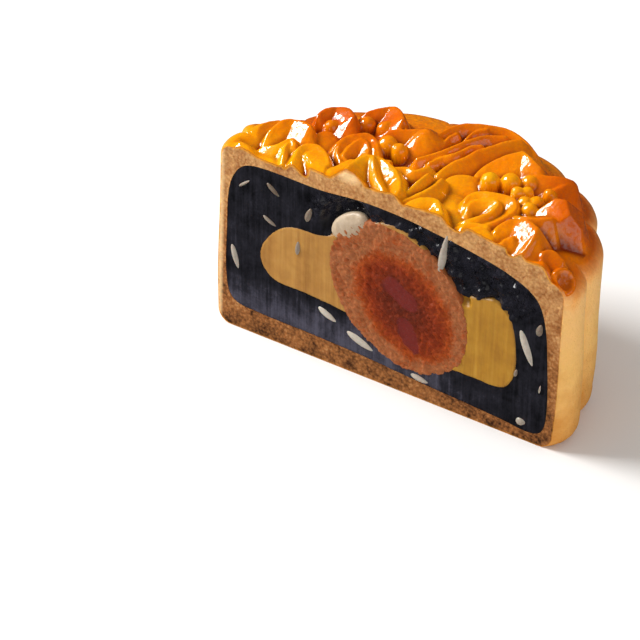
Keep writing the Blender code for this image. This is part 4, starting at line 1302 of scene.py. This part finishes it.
yellow_look, tree, shader = new_material("yellow paste")
right_side, edge = mask_of(tree, "right"), mask_of(tree, "edge")
lines = group_value(tree, drag_tree, Lines=1100.0, Stretch=0.03, Lean=0.02)
fine = group_value(tree, grain_tree, Scale=2400.0, Contrast=1.2)
cloud = group_value(tree, grain_tree, Scale=200.0, Contrast=1.6)
streak = lines * 0.55 + cloud * 0.45
left_colour = ramp(tree, streak, (0.25, 158, 104, 36), (0.55, 188, 134, 58), (0.85, 206, 158, 80))
right_colour = ramp(tree, streak, (0.25, 156, 102, 12), (0.5, 182, 128, 24), (0.85, 202, 154, 50))
colour = mixed(tree, right_side, left_colour, right_colour)
feed(tree, shader, {
    "Base Color": mixed(tree, clip01(edge), colour, srgb(120, 88, 40)),
    "Roughness": clip01(0.42 + (fine - 0.5) * 0.2),
    "Subsurface Weight": 0.2, "Subsurface Radius": (1.0, 0.6, 0.2), "Subsurface Scale": 0.0015})
set_bump(tree, shader, lines + fine * 0.15, 0.5, 0.00008)


def yellow_front(places):
    """The yellow paste's front."""
    wedge = clip01(near_ellipse(places, *WEDGE_HOLLOW) * 2.0)
    rough = -0.12 + 0.07 * dragged(places, 0.8, 61) + 0.06 * uneven(at_cut(places), 4.0, 62)
    return rough + sunk_under(places, yolk_curve) * 1.0 + wedge * 1.3


def yellow_masks(places, gap):
    """Masks of the yellow paste: its clearer right side and its darker edge."""
    return {"right": clip01((places[:, 0] - 4.0) / 8.0), "edge": clip01(1.0 - gap / 0.5) * 0.7}


yellow = layer("yellow_paste_body", grown(yellow_curve, JOIN), YELLOW_CENTRE, YELLOW_DEPTH, YELLOW_SPACING,
               yellow_front, yellow_look, yellow_masks, covered=yolk_curve)

# %% [markdown]
# ## Egg yolk
# A cured yolk is grainy and firm outside and stays moist and dark in the middle. Its grain lies in
# streaks along its length, and two wet patches shine in the middle, their purple sheen painted into the
# colour.

# %% Egg yolk
WET_UPPER = ((3.6, 22.0), 9.6, 4.4, -30.0)
WET_LOWER = ((5.8, 13.6), 8.4, 4.0, -62.0)
YOLK_CORE = ((4.4, 19.4), 27.0, 20.0, YOLK_TILT)
YOLK_SPACING = 0.22

yolk_look, tree, shader = new_material("cured egg yolk")
core, wet = mask_of(tree, "core"), mask_of(tree, "wet")
fine = group_value(tree, grain_tree, Scale=1500.0, Contrast=2.2)
cloud = group_value(tree, grain_tree, Scale=260.0, Contrast=1.8)
colour = ramp(tree, core + (cloud - 0.5) * 0.3 + (fine - 0.5) * 0.22,
              (0.0, 166, 98, 56), (0.2, 164, 70, 14), (0.55, 140, 48, 6), (1.0, 106, 36, 14))
feed(tree, shader, {
    # painted sheen: the wet patches get a purple-brown colour
    "Base Color": mixed(tree, wet, colour, srgb(116, 44, 38)),
    "Roughness": clip01(0.55 - wet * 0.32 + (fine - 0.5) * 0.3), "Specular IOR Level": 0.2,
    "Subsurface Weight": 0.15, "Subsurface Radius": (1.0, 0.3, 0.1), "Subsurface Scale": 0.0012})
set_bump(tree, shader, fine * (1.0 - wet), 0.6, 0.00015)


def yolk_wet_and_sheen(places):
    """The wet patches in the middle of the yolk, which also carry a painted sheen."""
    patches = np.maximum(near_ellipse(places, *WET_UPPER), near_ellipse(places, *WET_LOWER))
    return clip01((patches + 0.35 * uneven(at_cut(places), 1.6, 71)) * 4.0)


def yolk_front(places):
    """The yolk's front: streaky grain, smooth where wet."""
    c, s = math.cos(math.radians(YOLK_TILT)), math.sin(math.radians(YOLK_TILT))
    along, over = places[:, 0] * c + places[:, 1] * s, places[:, 1] * c - places[:, 0] * s
    streaks = uneven(stacked(along * 0.3, over, 0.0), 0.7, 72)
    grains = uneven(at_cut(places), 0.6, 73)
    calm = 1.0 - 0.85 * yolk_wet_and_sheen(places)
    return -0.22 + (0.5 * streaks + 0.3 * grains) * calm + 0.12 * uneven(at_cut(places), 5.0, 74)


def yolk_masks(places, gap):
    """Masks of the yolk: how near its middle, and how wet, with the wet patches' painted sheen."""
    return {"core": clip01(near_ellipse(places, *YOLK_CORE)), "wet": yolk_wet_and_sheen(places)}


yolk = layer("egg_yolk_body", grown(yolk_curve, JOIN), YOLK_CENTRE, YOLK_DEPTH, YOLK_SPACING, yolk_front,
             yolk_look, yolk_masks)

# %% [markdown]
# ## Nut
# A pale piece of nut sits in a dark hollow over the yolk. The knife chipped it rather than cutting it,
# so its face has small planes and a ragged lower edge.

# %% Nut
NUT_SPACING = 0.16

nut_look, tree, shader = new_material("cut nut")
fine = group_value(tree, grain_tree, Scale=1400.0, Contrast=1.6)
feed(tree, shader, {
    "Base Color": ramp(tree, mask_of(tree, "shade") + (fine - 0.5) * 0.3,
                       (0.0, 206, 186, 160), (0.5, 170, 142, 112), (1.0, 96, 68, 48)),
    "Roughness": clip01(0.38 + (fine - 0.5) * 0.3),
    "Subsurface Weight": 0.2, "Subsurface Radius": (1.0, 0.8, 0.5), "Subsurface Scale": 0.001})
set_bump(tree, shader, fine, 0.3, 0.0001)


def nut_front(places):
    """The nut's front: a low dome broken into planes."""
    rise = np.sqrt(clip01(near_ellipse(places, NUT_CENTRE, NUT_LENGTH, NUT_WIDTH, NUT_TILT)))
    return 0.1 - 0.65 * rise + 0.3 * np.abs(uneven(at_cut(places), 2.4, 81))


def nut_masks(places, gap):
    """Masks of the nut: darker to the lower right, painted shade."""
    rightward, upward = (places - np.array(NUT_CENTRE)).T
    # painted shade: the nut darkens toward its lower right
    return {"shade": clip01(0.25 + 0.05 * rightward - 0.06 * upward)}


nut = layer("nut_body", nut_curve, NUT_CENTRE, NUT_DEPTH, NUT_SPACING, nut_front, nut_look, nut_masks,
            steps=5)

# %% [markdown]
# ## Seeds in the paste
# Pale seeds lie in the paste and were cut along with it. They repeat, so one almond-shaped seed is
# instanced by Geometry Nodes at each place, with its own length, width and tilt.

# %% Seeds by Geometry Nodes
# each seed: x, z, length, width, tilt above +X in degrees, how dark it is
SEEDS = [
    (12.1, 34.0, 9.0, 1.7, 82.0, 0.25), (31.0, 20.6, 8.0, 1.9, -67.0, 0.1),
    (-12.6, 11.0, 4.8, 1.7, -24.0, 0.0), (-5.0, 7.8, 6.8, 2.0, -20.0, 0.05),
    (8.6, 4.6, 4.2, 1.5, -8.0, 0.15), (31.0, 3.9, 2.2, 1.9, 10.0, 0.3),
    (-34.2, 16.2, 5.6, 1.5, -72.0, 0.2), (-17.7, 31.6, 3.2, 1.5, 75.0, 0.7),
    (-25.8, 34.4, 3.8, 1.1, -35.0, 0.8), (-32.4, 33.5, 3.4, 0.7, 40.0, 0.5),
    (-26.4, 27.2, 3.6, 0.9, -25.0, 0.6), (33.4, 25.4, 2.6, 1.6, 80.0, 0.75),
    (34.5, 12.7, 2.0, 0.4, 85.0, 0.2), (29.2, 14.3, 1.9, 0.8, 80.0, 0.6),
    (-19.8, 23.5, 3.6, 1.3, 86.0, 0.55)]
SEED_THICKNESS = 1.4
SEED_MIDDLE = 0.25
SEED_TAPER = 0.35

seed_look, tree, shader = new_material("pale seeds")
fine = group_value(tree, grain_tree, Scale=1300.0, Contrast=1.8)
feed(tree, shader, {
    "Base Color": ramp(tree, mask_of(tree, "shade") + (fine - 0.5) * 0.25,
                       (0.0, 194, 184, 170), (0.3, 164, 152, 138), (1.0, 96, 74, 52)),
    "Roughness": clip01(0.42 + (fine - 0.5) * 0.3),
    "Subsurface Weight": 0.15, "Subsurface Scale": 0.0008})

tree, start, end = new_tree(
    "GeometryNodeTree", "Seeds",
    [("Places", "shape", None), ("Taper", "number", SEED_TAPER), ("Finish", "material", None)],
    [("Seeds", "shape")])
ball = step(tree, "GeometryNodeMeshUVSphere", {"Segments": 28, "Rings": 16, "Radius": 0.5})
place = step(tree, "ShaderNodeSeparateXYZ", {"Vector": step(tree, "GeometryNodeInputPosition").outputs[0]})
across, deep, along = (Field(tree, place.outputs[axis]) for axis in "XYZ")
narrow = 1.0 - (along + 0.5) ** 2.0 * Field(tree, start.outputs["Taper"])
laid = step(tree, "ShaderNodeCombineXYZ", {"X": along, "Y": deep, "Z": across * narrow})
shaped = step(tree, "GeometryNodeSetPosition", {
    "Geometry": ball.outputs["Mesh"], "Position": laid.outputs[0]})


def carried(tree, name):
    """A number that the points carry by name."""
    node = step(tree, "GeometryNodeInputNamedAttribute", {"Name": name}, data_type="FLOAT")
    return Field(tree, node.outputs["Attribute"])


size = step(tree, "ShaderNodeCombineXYZ", {
    "X": carried(tree, "long"), "Y": carried(tree, "thick"), "Z": carried(tree, "wide")})
turn = step(tree, "ShaderNodeCombineXYZ", {"X": 0.0, "Y": carried(tree, "tilt"), "Z": 0.0})
set_out = step(tree, "GeometryNodeInstanceOnPoints", {
    "Points": start.outputs["Places"], "Instance": shaped.outputs[0],
    "Rotation": turn.outputs[0], "Scale": size.outputs[0]})
real = step(tree, "GeometryNodeRealizeInstances", {"Geometry": set_out.outputs[0]})
painted = step(tree, "GeometryNodeSetMaterial", {
    "Geometry": real.outputs[0], "Material": start.outputs["Finish"]})
tree.links.new(painted.outputs[0], end.inputs[0])

seed_x, seed_z, long, wide, tilt, seed_shade = np.array(SEEDS).T
mesh = bpy.data.meshes.new("seeds")
mesh.from_pydata([tuple(p) for p in placed(stacked(seed_x, SEED_MIDDLE, seed_z))], [], [])
thick = np.full(len(SEEDS), SEED_THICKNESS)
numbers_carried = {"long": long * MM, "thick": thick * MM, "wide": wide * MM, "tilt": -np.radians(tilt),
                   "shade": seed_shade}
for label, values in numbers_carried.items():
    mesh.attributes.new(label, "FLOAT", "POINT").data.foreach_set("value", values.astype(np.float32))
seeds = grown_by_nodes("seeds", mesh, tree, Finish=seed_look)
for polygon in seeds.data.polygons:
    polygon.use_smooth = True
print("seeds:", len(SEEDS), "with", len(seeds.data.polygons), "faces")

# %% [markdown]
# ## Put together
# Every piece rides on the one body and stands for the solid it covers, which is hidden.

# %% Ride, replace and finish
# each piece: its object, the solid it replaces and the finish it belongs to
PIECES = [
    (crust, "crust", "crust"), (corner_knob, "crust", "crust"), (paste, "black_paste", "black_paste"),
    (yellow, "yellow_paste", "yellow_paste"), (yolk, "egg_yolk", "egg_yolk"), (nut, "nut", "nut"),
    (seeds, "black_paste", "nut")]
for piece, node, slot in PIECES:
    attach(piece, "root")
    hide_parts(node)
